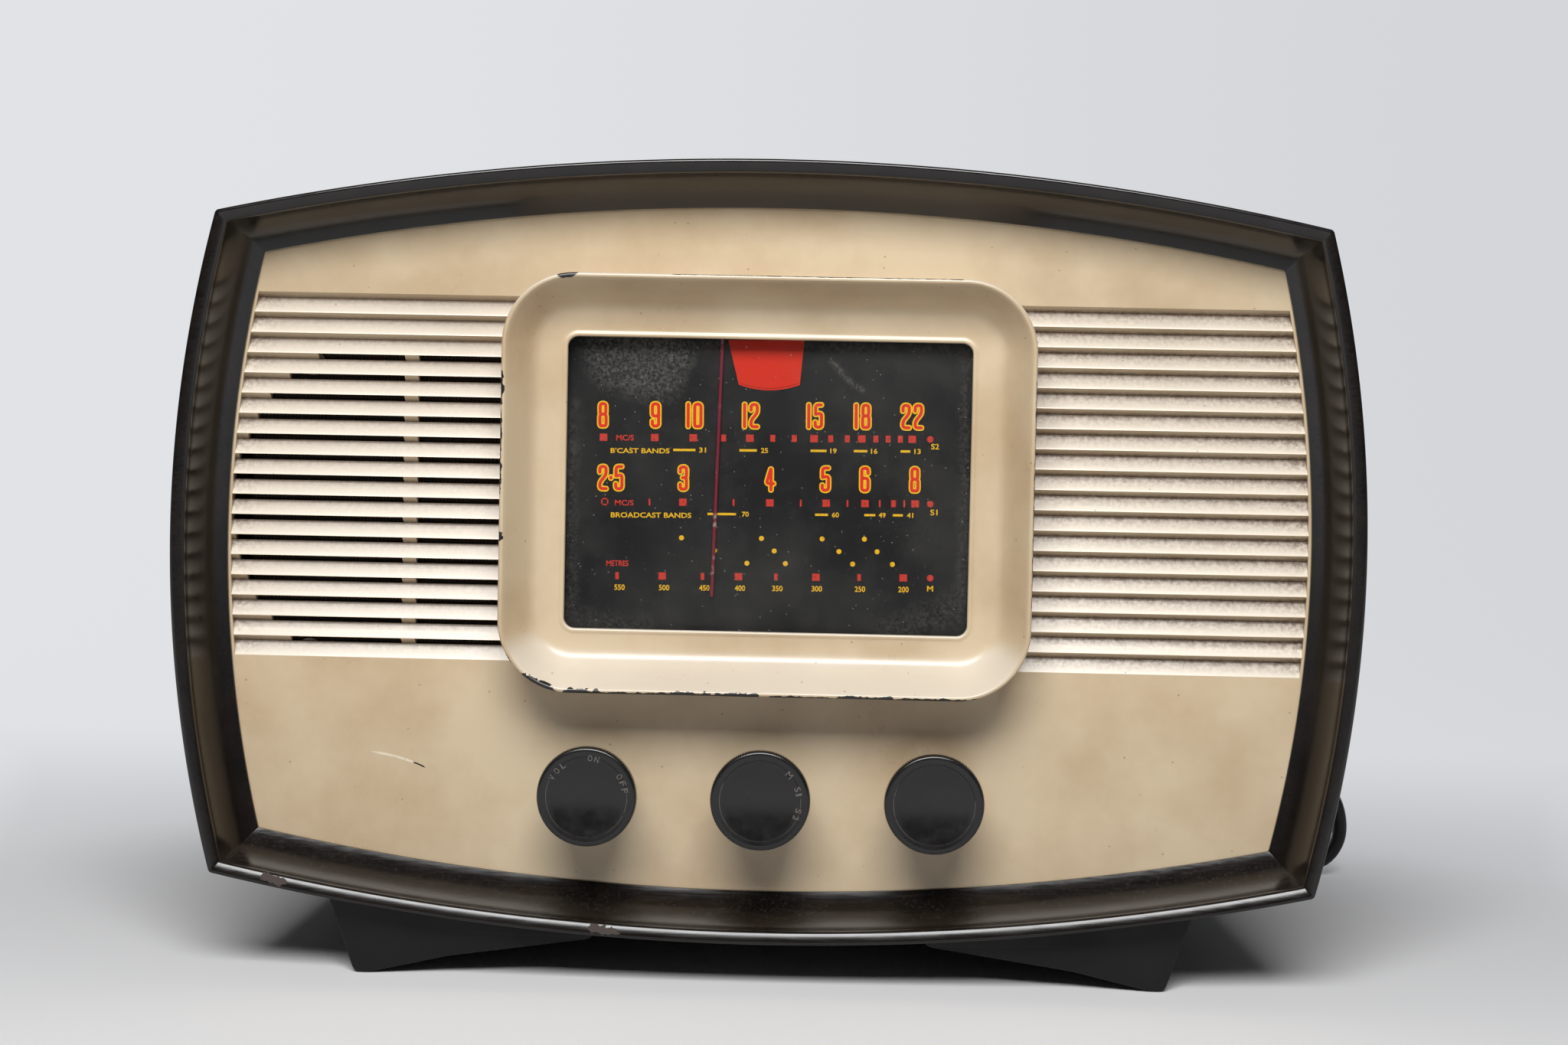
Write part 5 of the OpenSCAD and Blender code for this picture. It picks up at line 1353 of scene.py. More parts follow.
@dataclass
class FrontPanel:
    """Painted moulding behind the surround: flat above and below, with a field of louvres on each side.

    Each louvre is a slat that leans forward as it goes down and a riser cut back under its
    edge. On the left the risers are cut through inside a circle, in front of the speaker.
    """

    face: float = -72.6
    thickness: float = 4.2
    rows: int = 18
    pitch: float = 6.41
    top: float = 78.9
    riser: float = 1.75
    depth: float = 2.5
    field_edge: float = 13.8
    field_inner: float = 73.95
    grille: Point = (-113.5, 11.0, 56.5)
    rib: float = 4.4
    closed_rows: int = 3
    hidden_edge: float = 6.0
    aperture: Tuple[float, float, float, float] = (-66.1, 66.1, -27.95, 70.85)
    knobs: Tuple[float, ...] = (-53.4, 0.0, 53.4)
    knob_height: float = -75.5
    knob_hole: float = 4.9
    straight_to: float = 140.0
    crown_from: float = 80.0
    crown_to: float = 102.0
    peg_circle: float = 56.0
    tooth: Tuple[Flat, ...] = ((0.0, 0.05), (0.1, 0.18), (0.4, 0.62), (1.05, 1.55), (1.75, 2.5), (1.83, 2.46),
                               (3.6, 1.5), (5.9, 0.26), (6.2, 0.1), (6.41, 0.05))

    def levels(self) -> np.ndarray:
        """Heights, about the middle, of the louvres' turning points.

        Returns:
            The heights, from the top down.
        """
        down = np.array(self.tooth)[:-1, 0]
        rows = [self.top - self.pitch * i - down for i in range(self.rows)]
        return np.concatenate(rows + [[self.top - self.pitch * self.rows]])

    def cut(self, height: np.ndarray) -> np.ndarray:
        """How deep the louvres are cut at a height: a rounded nose, a steep riser and a sloping slat.

        Args:
            height: heights about the middle.

        Returns:
            The depth at each height.
        """
        down, deep = np.array(self.tooth).T
        place = np.mod(self.top - height + 1e-6, self.pitch)
        inside = (height <= self.top + 1e-6) & (height >= self.top - self.pitch * self.rows - 1e-6)
        return np.where(inside, np.interp(place, down, deep), 0.0)

    def reach(self, height: np.ndarray, inset: float) -> np.ndarray:
        """Half width of the panel at a height about the middle, held level beyond its corners."""
        return OUTLINE.side_at(np.clip(height, -100, 100), inset)

    def grid(self) -> Tuple[np.ndarray, np.ndarray, np.ndarray, np.ndarray]:
        """Rows and columns of the face.

        The outermost columns follow the curved side, the inner ones are upright. Above and
        below the louvres the rows bend to follow the crown.

        Returns:
            X, height about the middle, whether a column lies in a field, and the rows' nominal heights.
        """
        hole = self.knob_hole
        middle = [self.aperture[2], self.aperture[3], -60, *(self.knob_height + s for s in (hole, 0, -hole))]
        crown = [86, 91, 96, 102, -86, -91, -96, -102]
        nominal = np.unique(np.round(np.concatenate([self.levels(), middle, crown]), 4))[::-1]
        z = nominal[:, None]
        edge, outer = self.reach(z, self.field_edge), self.reach(z, self.hidden_edge)
        turn = self.straight_to
        t = np.linspace(0, 1, 25)[None, :]
        ones = np.ones_like(z)
        gx, _, _ = self.grille
        ribs = [gx - self.rib / 2, gx + self.rib / 2]
        left = np.unique(np.round(np.concatenate([np.linspace(-139, -80.6, 48), ribs, [-79.4, -77]]), 3))
        holes = [k + s for k in self.knobs for s in (-hole, hole)]
        centre = np.unique(np.concatenate([self.aperture[:2], holes, np.linspace(-70, 70, 9)]))
        right = np.linspace(77, 139, 12)
        inner = self.field_inner * ones
        columns = [-outer, -edge, -edge + (edge - turn) * t, left * ones, -inner, -inner, centre * ones,
                   inner, inner, right * ones, turn + (edge - turn) * t, edge, outer]
        inside = [0, 0, 1, 1, 1, 0, 0, 0, 1, 1, 1, 0, 0]
        field_columns = np.concatenate([np.full(c.shape[1], bool(f)) for c, f in zip(columns, inside)])
        x = np.hstack(columns)
        limit = OUTLINE.crown_at(np.clip(x, -170, 170), self.hidden_edge)
        start = self.crown_from
        beyond = np.clip((np.abs(z) - start) / (self.crown_to - start), 0, 1)
        height = np.where(np.abs(z) > start, np.sign(z) * (start + beyond * (limit - start)), z + 0 * x)
        return x, height, field_columns, nominal

    def kept(self, x: np.ndarray, nominal: np.ndarray) -> np.ndarray:
        """Which cells are solid: all but the dial's hole, the spindle holes and the open risers.

        Args:
            x: place across of each point.
            nominal: height of each row of points.

        Returns:
            A truth value for each cell.
        """
        cx = (x[:-1, :-1] + x[1:, 1:]) / 2
        cz = ((nominal[:-1] + nominal[1:]) / 2)[:, None] + 0 * cx
        a, hole = self.aperture, self.knob_hole - 0.1
        solid = ~((cx > a[0]) & (cx < a[1]) & (cz > a[2]) & (cz < a[3]))
        for knob in self.knobs:
            solid &= ~((np.abs(cx - knob) < hole) & (np.abs(cz - self.knob_height) < hole))
        gx, gz, gr = self.grille
        row = np.floor((self.top - cz) / self.pitch)
        down = self.top - cz - row * self.pitch
        level = self.top - row * self.pitch - self.riser / 2
        reach = np.sqrt(np.clip(gr ** 2 - (level - gz) ** 2, 0, None))
        slot = (down < self.riser) & (row >= self.closed_rows) & (row < self.rows)
        slot &= (np.abs(cx - gx) < reach) & (np.abs(cx - gx) > self.rib / 2) & (cx < -79.4)
        slot &= (reach > 0) & (cx > -OUTLINE.side_at(cz, self.field_edge))
        return solid & ~slot

    def build(self) -> None:
        """Makes the panel as a slab between its face and its flat back."""
        x, height, inside, nominal = self.grid()
        depth = self.cut(nominal)[:, None] * inside[None, :]
        front = np.stack([x, self.face + depth, OUTLINE.centre + height], -1)
        back = np.stack([x, np.full_like(x, self.face + self.thickness), OUTLINE.centre + height], -1)
        skin = Skin()
        skin.slab(front, back, self.kept(x, nominal))
        peg = [(0, -69.0), (4, -69.0), (4, -58.9), (1.65, -58.9), (1.65, -64.0), (0, -64.0)]
        for turn in np.radians((55, 125, 235, 305)):
            px = self.grille[0] + self.peg_circle * math.cos(turn)
            pz = OUTLINE.centre + self.grille[1] + self.peg_circle * math.sin(turn)
            skin.lathe((px, 0, pz), peg, "Y", 24)
        panel = skin.build("front_panel_louvres", CreamPaint().material(), "cream_paint",
                           stands_for=("front_panel",), crease=28)
        p = places(panel)
        hollow = np.clip((p[:, 1] - self.face) / self.depth, 0, 1)
        side = self.reach(p[:, 2] - OUTLINE.centre, self.field_edge)
        ends = np.clip(1 - (side - np.abs(p[:, 0])) / 10.0, 0, 1) * hollow
        right = np.where(p[:, 0] > 0, 0.9, 0.35) * hollow ** 2
        mark(panel, "grime", np.clip(0.75 * ends + right, 0, 1))
        # Painted shade with stain: the louvre cuts deeper than 1.2 mm are marked to be browned
        mark(panel, "cut", 0.85 * np.clip((p[:, 1] - self.face - 1.2) / 0.9, 0, 1))
        self.scratches()
        LOG.info("front panel: %d faces", len(panel.data.polygons))

    def scratches(self) -> None:
        """The long scratch below the top left corner and the gouge at its end, each bowed a little."""
        t = np.linspace(0, 1, 12)
        bow = 0.5 * np.sin(math.pi * t)
        scratch = np.stack([-124.8 + 15.4 * t, 68.7 - 3.7 * t + bow], -1)
        stroke("panel_scratch", scratch, 0.8, self.face - 0.015, SCUFF.material(), "cream_paint")
        gouge = np.stack([-111.4 + 4.2 * t, 65.6 - 1.7 * t + 0.3 * bow], -1)
        stroke("panel_gouge", gouge, 0.45, self.face - 0.025, GOUGE.material(), "cream_paint")


@dataclass
class Surround:
    """Moulded ring round the dial: a thin crest, a steep flank, a shallow floor and a small window lip."""

    width: float = 163.9
    height: float = 129.0
    centre: float = 155.7
    corner: float = 22.2
    ring: float = 18.85
    rim: float = 21.0
    rim_radius: float = 0.8
    window: float = 8.0
    lip: float = 1.6
    seat: float = 6.2
    face: float = -72.6
    corner_steps: int = 26
    side_steps: int = 80
    cove: Tuple[Flat, ...] = ((0.0, 0.985), (0.03, 0.94), (0.2, 0.63), (0.36, 0.325), (0.41, 0.24),
                              (0.45, 0.182), (0.5, 0.128), (0.56, 0.085), (0.66, 0.048), (0.82, 0.015),
                              (0.95, 0.0), (1.0, 0.004))
    chips: Tuple[Tuple[Flat, Flat, float], ...] = (
        ((-64.0, 219.6), (-60.4, 219.9), 2.4), ((-81.6, 190.0), (-81.7, 180.0), 1.5),
        ((-81.7, 178.0), (-81.6, 152.0), 1.2), ((-81.6, 139.8), (-81.6, 137.8), 1.9),
        ((-79.6, 103.0), (-78.2, 99.5), 2.1), ((-73.9, 96.0), (-65.0, 92.2), 2.5),
        ((-60.6, 91.5), (-51.0, 91.3), 2.4), ((-49.0, 91.3), (-29.5, 91.3), 1.5),
        ((-27.5, 91.3), (-2.0, 91.3), 2.1), ((2.0, 91.3), (21.6, 91.3), 1.3),
        ((23.6, 91.3), (39.3, 91.3), 2.0), ((41.3, 91.3), (66.8, 91.3), 1.5),
        ((-29.5, 220.1), (59.0, 220.1), 0.7), ((81.8, 190.0), (81.8, 120.0), 0.7))

    def section(self) -> np.ndarray:
        """Closed section as distance in from the edge and height over the panel.

        Returns:
            One row for each point of the section.
        """
        r, base = self.rim_radius, self.window - 0.4
        a = np.linspace(math.pi, math.radians(50), 12)
        rim = np.stack([r + r * np.cos(a), self.rim - r + r * np.sin(a)], -1)
        smooth = smooth_route([(u, v, 0.0) for u, v in self.cove], 0.03)
        cove = np.stack([2 * r + smooth[:, 0] * (self.ring - self.lip - 2 * r),
                         base + smooth[:, 1] * (self.rim - 0.4 - base)], -1)
        top, end = self.window, self.ring
        lip = np.array([(end - 1.35, base + 0.16), (end - 1.1, top - 0.05), (end - 0.75, top + 0.02),
                        (end - 0.4, top), (end - 0.12, top - 0.22), (end, top - 0.55), (end, self.seat),
                        (end - 5.3, self.seat), (end - 5.3, 0.0)])
        foot = np.array([(0.0, 0.0), (0.0, 3.0), (0.0, 11.0), (0.0, 17.0)])
        return np.concatenate([foot, rim, cove, lip])

    def build(self) -> None:
        """Carries the section round a rounded rectangle whose corner shrinks with the inset."""
        section = self.section()
        hx, hz = self.width / 2 - self.corner, self.height / 2 - self.corner
        count = self.corner_steps
        turn = np.linspace(0, math.pi / 2, count)
        quarters = ((1, 1), (-1, 1), (-1, -1), (1, -1))
        centres = np.repeat(np.array(quarters) * np.array([hx, hz]), count, 0)
        angles = np.concatenate([turn + k * math.pi / 2 for k in range(4)])
        radius = (self.corner - section[:, 0])[:, None]
        x = centres[:, 0] + radius * np.cos(angles)
        z = centres[:, 1] + radius * np.sin(angles)
        y = np.broadcast_to((self.face - section[:, 1])[:, None], x.shape)
        ring = np.stack([x, y, self.centre + z], -1)
        # The four straight sides are filled in at about 1.5 mm, so that wear can be marked along them
        t = np.linspace(0, 1, self.side_steps)[1:-1][None, :, None]
        parts = []
        for k in range(4):
            parts.append(ring[:, k * count:(k + 1) * count])
            a, b = ring[:, (k + 1) * count - 1], ring[:, (k + 1) * count % (4 * count)]
            parts.append(a[:, None] * (1 - t) + b[:, None] * t)
        skin = Skin()
        skin.sheet(np.concatenate(parts, 1), wrap=True, loop=True)
        surround = skin.build("dial_surround_ring", CreamPaint(name="cream_ring_enamel").material(),
                              "cream_paint", stands_for=("dial_surround",), crease=50)
        p = places(surround)
        crest = self.face - self.rim + 0.6
        lines = [((a[0], crest, a[1]), (b[0], crest, b[1]), r) for a, b, r in self.chips]
        mark(surround, "wear", near_lines(p, lines))
        low = np.clip(self.face - p[:, 1], 0, 10)
        corner_dirt = near_lines(p, [((-79.3, crest, 99.6), (-77.6, crest, 98.3), 2.2)]) * 0.8
        mark(surround, "grime", np.where((low < 1.2) & (np.abs(p[:, 0]) > 60), 0.35, 0.0) + corner_dirt)
        LOG.info("surround: %d faces", len(surround.data.polygons))


class Figures:
    """Condensed figures of the dial as strokes on a cell 2 mm wide and 7.1 mm tall."""

    STROKES: Dict[str, Tuple[float, List[List[Flat]]]] = {
        "0": (2.0, [[(1, 0), (2, 0), (2, 7.1), (0, 7.1), (0, 0), (1, 0)]]),
        "1": (0.35, [[(0.18, 0), (0.18, 7.1)]]),
        "2": (2.0, [[(0, 5.3), (0, 7.1), (2, 7.1), (2, 4.5), (0, 2.0), (0, 0), (2, 0)]]),
        "3": (2.0, [[(0, 5.5), (0, 7.1), (2, 7.1), (2, 3.7), (0.8, 3.7)],
                    [(0.8, 3.7), (2, 3.7), (2, 0), (0, 0), (0, 1.6)]]),
        "4": (2.3, [[(1.5, 0), (1.5, 7.1), (0, 2.0), (2.3, 2.0)]]),
        "5": (2.0, [[(1.9, 7.1), (0.1, 7.1), (0.1, 4.1)], [(0.1, 4.1), (2, 4.5), (2, 0), (0, 0), (0, 1.6)]]),
        "6": (2.0, [[(0, 3.9), (2, 3.9), (2, 0), (0, 0), (0, 7.1), (2, 7.1), (2, 5.5)]]),
        "8": (2.0, [[(1, 0), (2, 0), (2, 3.7), (0, 3.7), (0, 0), (1, 0)],
                    [(1, 3.7), (1.9, 3.7), (1.9, 7.1), (0.1, 7.1), (0.1, 3.7), (1, 3.7)]]),
        "9": (2.0, [[(2, 3.2), (0, 3.2), (0, 7.1), (2, 7.1), (2, 0), (0, 0), (0, 1.6)]]),
        ".": (0.0, [[(0, 3.4), (0, 3.7)]])}
    HEIGHT = 7.1
    CORNER = 0.95
    MARGIN = 1.9
    DOT_MARGIN = 1.2

    @classmethod
    def lines(cls, text: str, x: float, z: float) -> List[np.ndarray]:
        """Rounded strokes of a number centred on a place.

        Args:
            text: digits, with a full stop for a mid dot.
            x: middle of the number.
            z: middle of its height.

        Returns:
            One path of X and Z per stroke.
        """
        widths = [cls.STROKES[c][0] + (cls.MARGIN if c != "." else cls.DOT_MARGIN) for c in text]
        cursor = x - sum(widths) / 2
        out = []
        for glyph, width in zip(text, widths):
            side = (width - cls.STROKES[glyph][0]) / 2
            for line in cls.STROKES[glyph][1]:
                path = round_path(line, cls.CORNER) if len(line) > 2 else np.array(line, float)
                out.append(path + np.array([cursor + side, z - cls.HEIGHT / 2]))
            cursor += width
        return out


@dataclass
class Dial:
    """The black plate with its scales, the glass in front of it and the pointer between them.

    The places of the print were measured as if the plate lay further back, so they are
    drawn in a little toward the point that faces the camera. Words and marks lie ink
    in front of the plate.
    """

    plate: float = -74.6
    ink: float = 0.03
    tilt: float = 0.0135
    pivot: Flat = (-3.0, 155.0)
    shrink: float = 0.98457
    shrink_middle: Flat = (18.01, 169.27)
    figure_margin: float = 1.3
    figure_cell: float = 0.2

    def level(self, path: np.ndarray) -> np.ndarray:
        """Turns level print to lie as it does on the plate, which sits a little askew."""
        pivot, middle = np.array(self.pivot), np.array(self.shrink_middle)
        return middle + self.shrink * (spin(path - pivot, self.tilt) + pivot - middle)

    def block(self, x: float, z: float, w: float, h: float) -> np.ndarray:
        """Outline of a printed bar, anticlockwise."""
        w, h = w / 2, h / 2
        return self.level(np.array([(x - w, z - h), (x + w, z - h), (x + w, z + h), (x - w, z + h)]))

    def dot(self, x: float, z: float, radius: float) -> np.ndarray:
        """Outline of a printed round dot."""
        return self.level(np.array([x, z]) + radius * circle(20))

    def figures(self) -> None:
        """The two rows of large figures, on a grid that holds each point's distance to the nearest stroke.

        The ink's colour follows from that distance: red within half a millimetre, a yellow
        outline beyond it, and the black ground further out. Cells far from any stroke are
        left out.
        """
        rows = [(177.9, [("8", -53.2), ("9", -36.4), ("10", -24.0), ("12", -6.0), ("15", 14.5), ("18", 29.6),
                         ("22", 45.5)]),
                (157.8, [("2.5", -50.6), ("3", -27.4), ("4", 0.3), ("5", 18.0), ("6", 30.6), ("8", 46.5)])]
        skin, near = Skin(), []
        for text, x, z in [(text, x, z) for z, row in rows for text, x in row]:
            paths = [self.level(p) for p in Figures.lines(text, x, z)]
            every = np.concatenate(paths)
            low, high = every.min(0) - self.figure_margin, every.max(0) + self.figure_margin
            counts = np.ceil((high - low) / self.figure_cell).astype(int)
            ways = [np.linspace(a, b, n) for a, b, n in zip(low, high, counts)]
            spots = np.stack(np.meshgrid(*ways), -1)
            gap = np.full(spots.shape[:2], 9.0)
            for path in paths:
                a, run = path[:-1], np.diff(path, axis=0)
                size = np.maximum((run ** 2).sum(1), 1e-12)
                rel = spots[:, :, None, :] - a
                t = np.clip((rel * run).sum(-1) / size, 0, 1)
                gap = np.minimum(gap, np.linalg.norm(rel - t[..., None] * run, axis=-1).min(-1))
            quads = cells(skin.place(stand(spots, self.plate - self.ink)))
            skin.faces.append(quads[cells(gap).min(-1) < 1.0])
            near.append(gap.ravel())
        piece = skin.build("scale_figures", FigureInk().material(), "dial_print", closed=False)
        mark(piece, "ink", np.concatenate(near))

    def marks(self) -> None:
        """Squares, ticks and dots of the scales in red, and bars and station dots in yellow."""
        red, gold = Skin(), Skin()
        y = self.plate - self.ink
        squares = ((170.7, (-53.0, -36.6, -24.3, -6.2, 14.3, 29.5, 45.6)),
                   (150.1, (-27.5, 0.3, 18.3, 30.7, 46.7)), (126.4, (-34.0, -9.6, 15.2, 43.1)))
        ticks = ((170.7, (-14.6, 1.1, 8.0, 19.6, 24.9, 34.0, 37.9, 41.8), 1.55), (150.1, (39.8,), 1.5),
                 (150.1, (-38.2, -11.3, 10.2, 25.1, 35.4, 43.2), 0.55),
                 (126.4, (-48.5, -21.1, 2.4, 29.0), 1.1))
        blocks = [(x, z, 2.4, 2.3) for z, xs in squares for x in xs]
        blocks += [(x, z, w, 2.2) for z, xs, w in ticks for x in xs]
        # The open square at the left of the middle scale: two uprights and two rails
        blocks += [(x, 150.1, 0.4, 2.3) for x in (-53.5, -51.6)]
        blocks += [(-52.55, z, 2.3, 0.4) for z in (149.15, 151.05)]
        for block in blocks:
            red.patch(self.block(*block), y)
        for x, z in ((51.3, 170.7), (51.5, 150.1), (51.7, 126.4)):
            red.patch(self.dot(x, z, 1.05), y)
        bars = ((166.8, ((-30.7, -23.6), (-9.5, -3.9), (13.2, 18.3), (27.0, 31.3), (41.9, 45.0))),
                (146.4, ((-19.6, -10.5), (14.8, 18.9), (30.5, 34.0), (39.6, 42.8))))
        for z, spans in bars:
            for a, b in spans:
                gold.patch(self.block((a + b) / 2, z, b - a, 0.75), y)
        stations = ((138.7, (-27.9, -2.3, 17.1, 30.6)), (134.7, (-17.3, 1.8, 22.5, 34.7)),
                    (130.7, (-6.9, 5.4, 26.9, 39.6)))
        for z, xs in stations:
            for x in xs:
                gold.patch(self.dot(x, z, 0.8), y)
        red.build("scale_marks", MARK_RED.material(), "dial_print", closed=False)
        gold.build("scale_bars_and_dots", GOLD.material(), "dial_print", closed=False)

    def words(self) -> None:
        """Small generic words and numbers, from the built-in face made bold, fitted to measured boxes."""
        gold = [("B'CAST BANDS", -41.3, 166.5, 18.6, 1.65), ("BROADCAST BANDS", -37.7, 145.9, 25.4, 1.65),
                ("31", -21.3, 166.8, 2.2, 1.6), ("25", -1.5, 166.8, 2.2, 1.6), ("19", 20.5, 166.8, 2.0, 1.6),
                ("16", 33.5, 166.8, 2.0, 1.6), ("13", 47.3, 166.8, 2.0, 1.6), ("S2", 52.9, 168.4, 2.5, 1.8),
                ("70", -7.5, 146.4, 2.2, 1.6), ("60", 21.3, 146.4, 2.2, 1.6), ("49", 36.2, 146.4, 2.2, 1.6),
                ("41", 45.1, 146.4, 2.0, 1.6), ("S1", 52.7, 147.4, 2.3, 1.8), ("M", 51.7, 123.0, 1.9, 1.8)]
        wavelengths = (("550", -47.7), ("500", -33.4), ("450", -20.5), ("400", -9.1), ("350", 2.9),
                       ("300", 15.5), ("250", 29.3), ("200", 43.2))
        gold += [(text, x, 122.7, 3.3, 1.8) for text, x in wavelengths]
        red = [("MC/S", -46.1, 170.6, 5.6, 1.8), ("MC/S", -46.3, 149.8, 5.9, 1.8),
               ("METRES", -48.4, 130.4, 7.0, 1.8)]
        for name, rows, ink in (("scale_words_yellow", gold, GOLD), ("scale_words_red", red, MARK_RED)):
            placed = [(text, *self.level(np.array([[x, z]]))[0], w, h) for text, x, z, w, h in rows]
            lettering(name, placed, self.plate - self.ink, ink.material(), "dial_print", "radio", self.tilt)

    def badge(self) -> None:
        """The bare red badge at the top: straight sides that draw in and a bowed lower edge."""
        t = np.linspace(-1, 1, 17)
        low = np.stack([-0.1 + 9.7 * t, 186.0 + 1.7 * t ** 2], -1)
        outline = np.concatenate([[(-13.3, 201.9)], low, [(11.0, 201.9)]])
        skin = Skin()
        skin.patch(self.level(outline), self.plate - 0.05)
        skin.build("bare_red_badge", BADGE_RED.material(), "dial_print", closed=False)
        edge = np.stack([-0.1 + 9.1 * t, 186.6 + 1.6 * t ** 2], -1)
        rule = Skin()
        rule.ribbons([self.level(edge)], 0.08, self.plate - 0.08)
        rule_ink = Ink("badge_rule_ink", "#8d1c0e", "#7a170b")
        rule.build("badge_fine_rule", rule_ink.material(), "dial_print", closed=False)

    def build(self) -> None:
        """Dresses the plate, the glass and the pointer, and prints the scales."""
        paint(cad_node("dial_plate"), DialBlack().material())
        self.ground()
        paint(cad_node("dial_glass"), Glass().material())
        paint(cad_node("pointer"), PointerMaroon().material())
        self.figures()
        self.marks()
        self.words()
        self.badge()
        LOG.info("dial: printed")

    def ground(self) -> None:
        """The printed ground: a fine grid a hair in front of the plate, with the rubbed places marked."""
        x, z = np.meshgrid(np.linspace(-65.0, 65.0, 176), np.linspace(108.2, 201.6, 126))
        skin = Skin()
        skin.sheet(stand(np.stack([x, z], -1), self.plate - 0.01))
        lacquer = DialBlack(name="rubbed_dial_lacquer")
        ground = skin.build("dial_ground", lacquer.material(), "dial_print", closed=False)
        p = places(ground)
        p[:, 1] = 0.0
        rubbed = near_lines(p, [((-49, 0, 194), (-36, 0, 190.2), 11.5),
                                ((-47, 0, 197.5), (-29, 0, 195.6), 6.5)])
        scratch = near_lines(p, [((19.1, 0, 195.4), (24.5, 0, 189.4), 1.2),
                                 ((24.5, 0, 189.4), (29.4, 0, 186.1), 1.2)])
        dust = near_lines(p, [((-62, 0, 112), (-39, 0, 109.8), 7.0), ((40, 0, 110), (62, 0, 119), 9.0),
                              ((62, 0, 118), (62, 0, 199), 4.0), ((-62, 0, 112), (-62, 0, 180), 4.0),
                              ((-62, 0, 200), (62, 0, 200), 4.0)])
        worn = np.clip(rubbed * 1.6, 0, 0.85) + np.clip(scratch * 1.6, 0, 1) * 0.9 + dust * 0.45
        mark(ground, "wear", worn)


def stroke(name: str, line: Sequence[Flat], width: float, y: float, material: bpy.types.Material, slot: str,
           body: str = "radio") -> None:
    """A thin flat mark along a line, pointed at both ends and facing the front.

    Args:
        name: the piece's name.
        line: X and Z along the mark, in millimetres.
        width: its widest, in millimetres.
        y: its depth.
        material: its finish.
        slot: the record's material slot.
        body: the body that it moves with.
    """
    way = np.array(line, float)
    run = np.gradient(way, axis=0)
    run /= np.linalg.norm(run, axis=1)[:, None]
    taper = np.clip(np.minimum(np.arange(len(way)), np.arange(len(way))[::-1]) / 2, 0.1, 1)[:, None]
    side = np.stack([-run[:, 1], run[:, 0]], -1) * taper * width / 2
    skin = Skin()
    skin.sheet(stand(np.stack([way - side, way + side]), y))
    skin.build(name, material, slot, body, closed=False)


def lettering(name: str, rows: Sequence[Tuple[str, float, float, float, float]], y: float,
              material: bpy.types.Material, slot: str, body: str, tilt: float = 0.0) -> None:
    """Flat words fitted to their boxes, facing the front.

    Args:
        name: the piece's name.
        rows: text, middle X, middle Z, width and height of each word.
        y: depth of the ink.
        material: its finish.
        slot: the record's material slot.
        body: the body that it moves with.
        tilt: turn of each word in radians.
    """
    skin = Skin()

    for text, x, z, width, height in rows:
        font = bpy.data.curves.new(name, "FONT")
        font.body = text
        font.offset = 0.02
        font.resolution_u = 3
        holder = bpy.data.objects.new(name + "_word", font)
        bpy.context.scene.collection.objects.link(holder)
        graph = bpy.context.evaluated_depsgraph_get()
        mesh = bpy.data.meshes.new_from_object(holder.evaluated_get(graph))
        flat = np.empty(len(mesh.vertices) * 3)
        mesh.vertices.foreach_get("co", flat)
        p = flat.reshape(-1, 3)[:, :2]
        low, high = p.min(0), p.max(0)
        p = (p - (low + high) / 2) / (high - low) * np.array([width, height])
        index = skin.place(stand(spin(p, tilt) + np.array([x, z]), y))
        for face in mesh.polygons:
            skin.faces.append(index[list(face.vertices)][None, :])
        bpy.data.meshes.remove(mesh)
        bpy.data.objects.remove(holder)
        bpy.data.curves.remove(font)
    skin.build(name, material, slot, body, closed=False)


def paint(thing: bpy.types.Object, material: bpy.types.Material) -> None:
    """Gives a CAD node one finish in every material slot."""
    if not thing.material_slots:
        thing.data.materials.append(material)
    for holder in thing.material_slots:
        holder.material = material


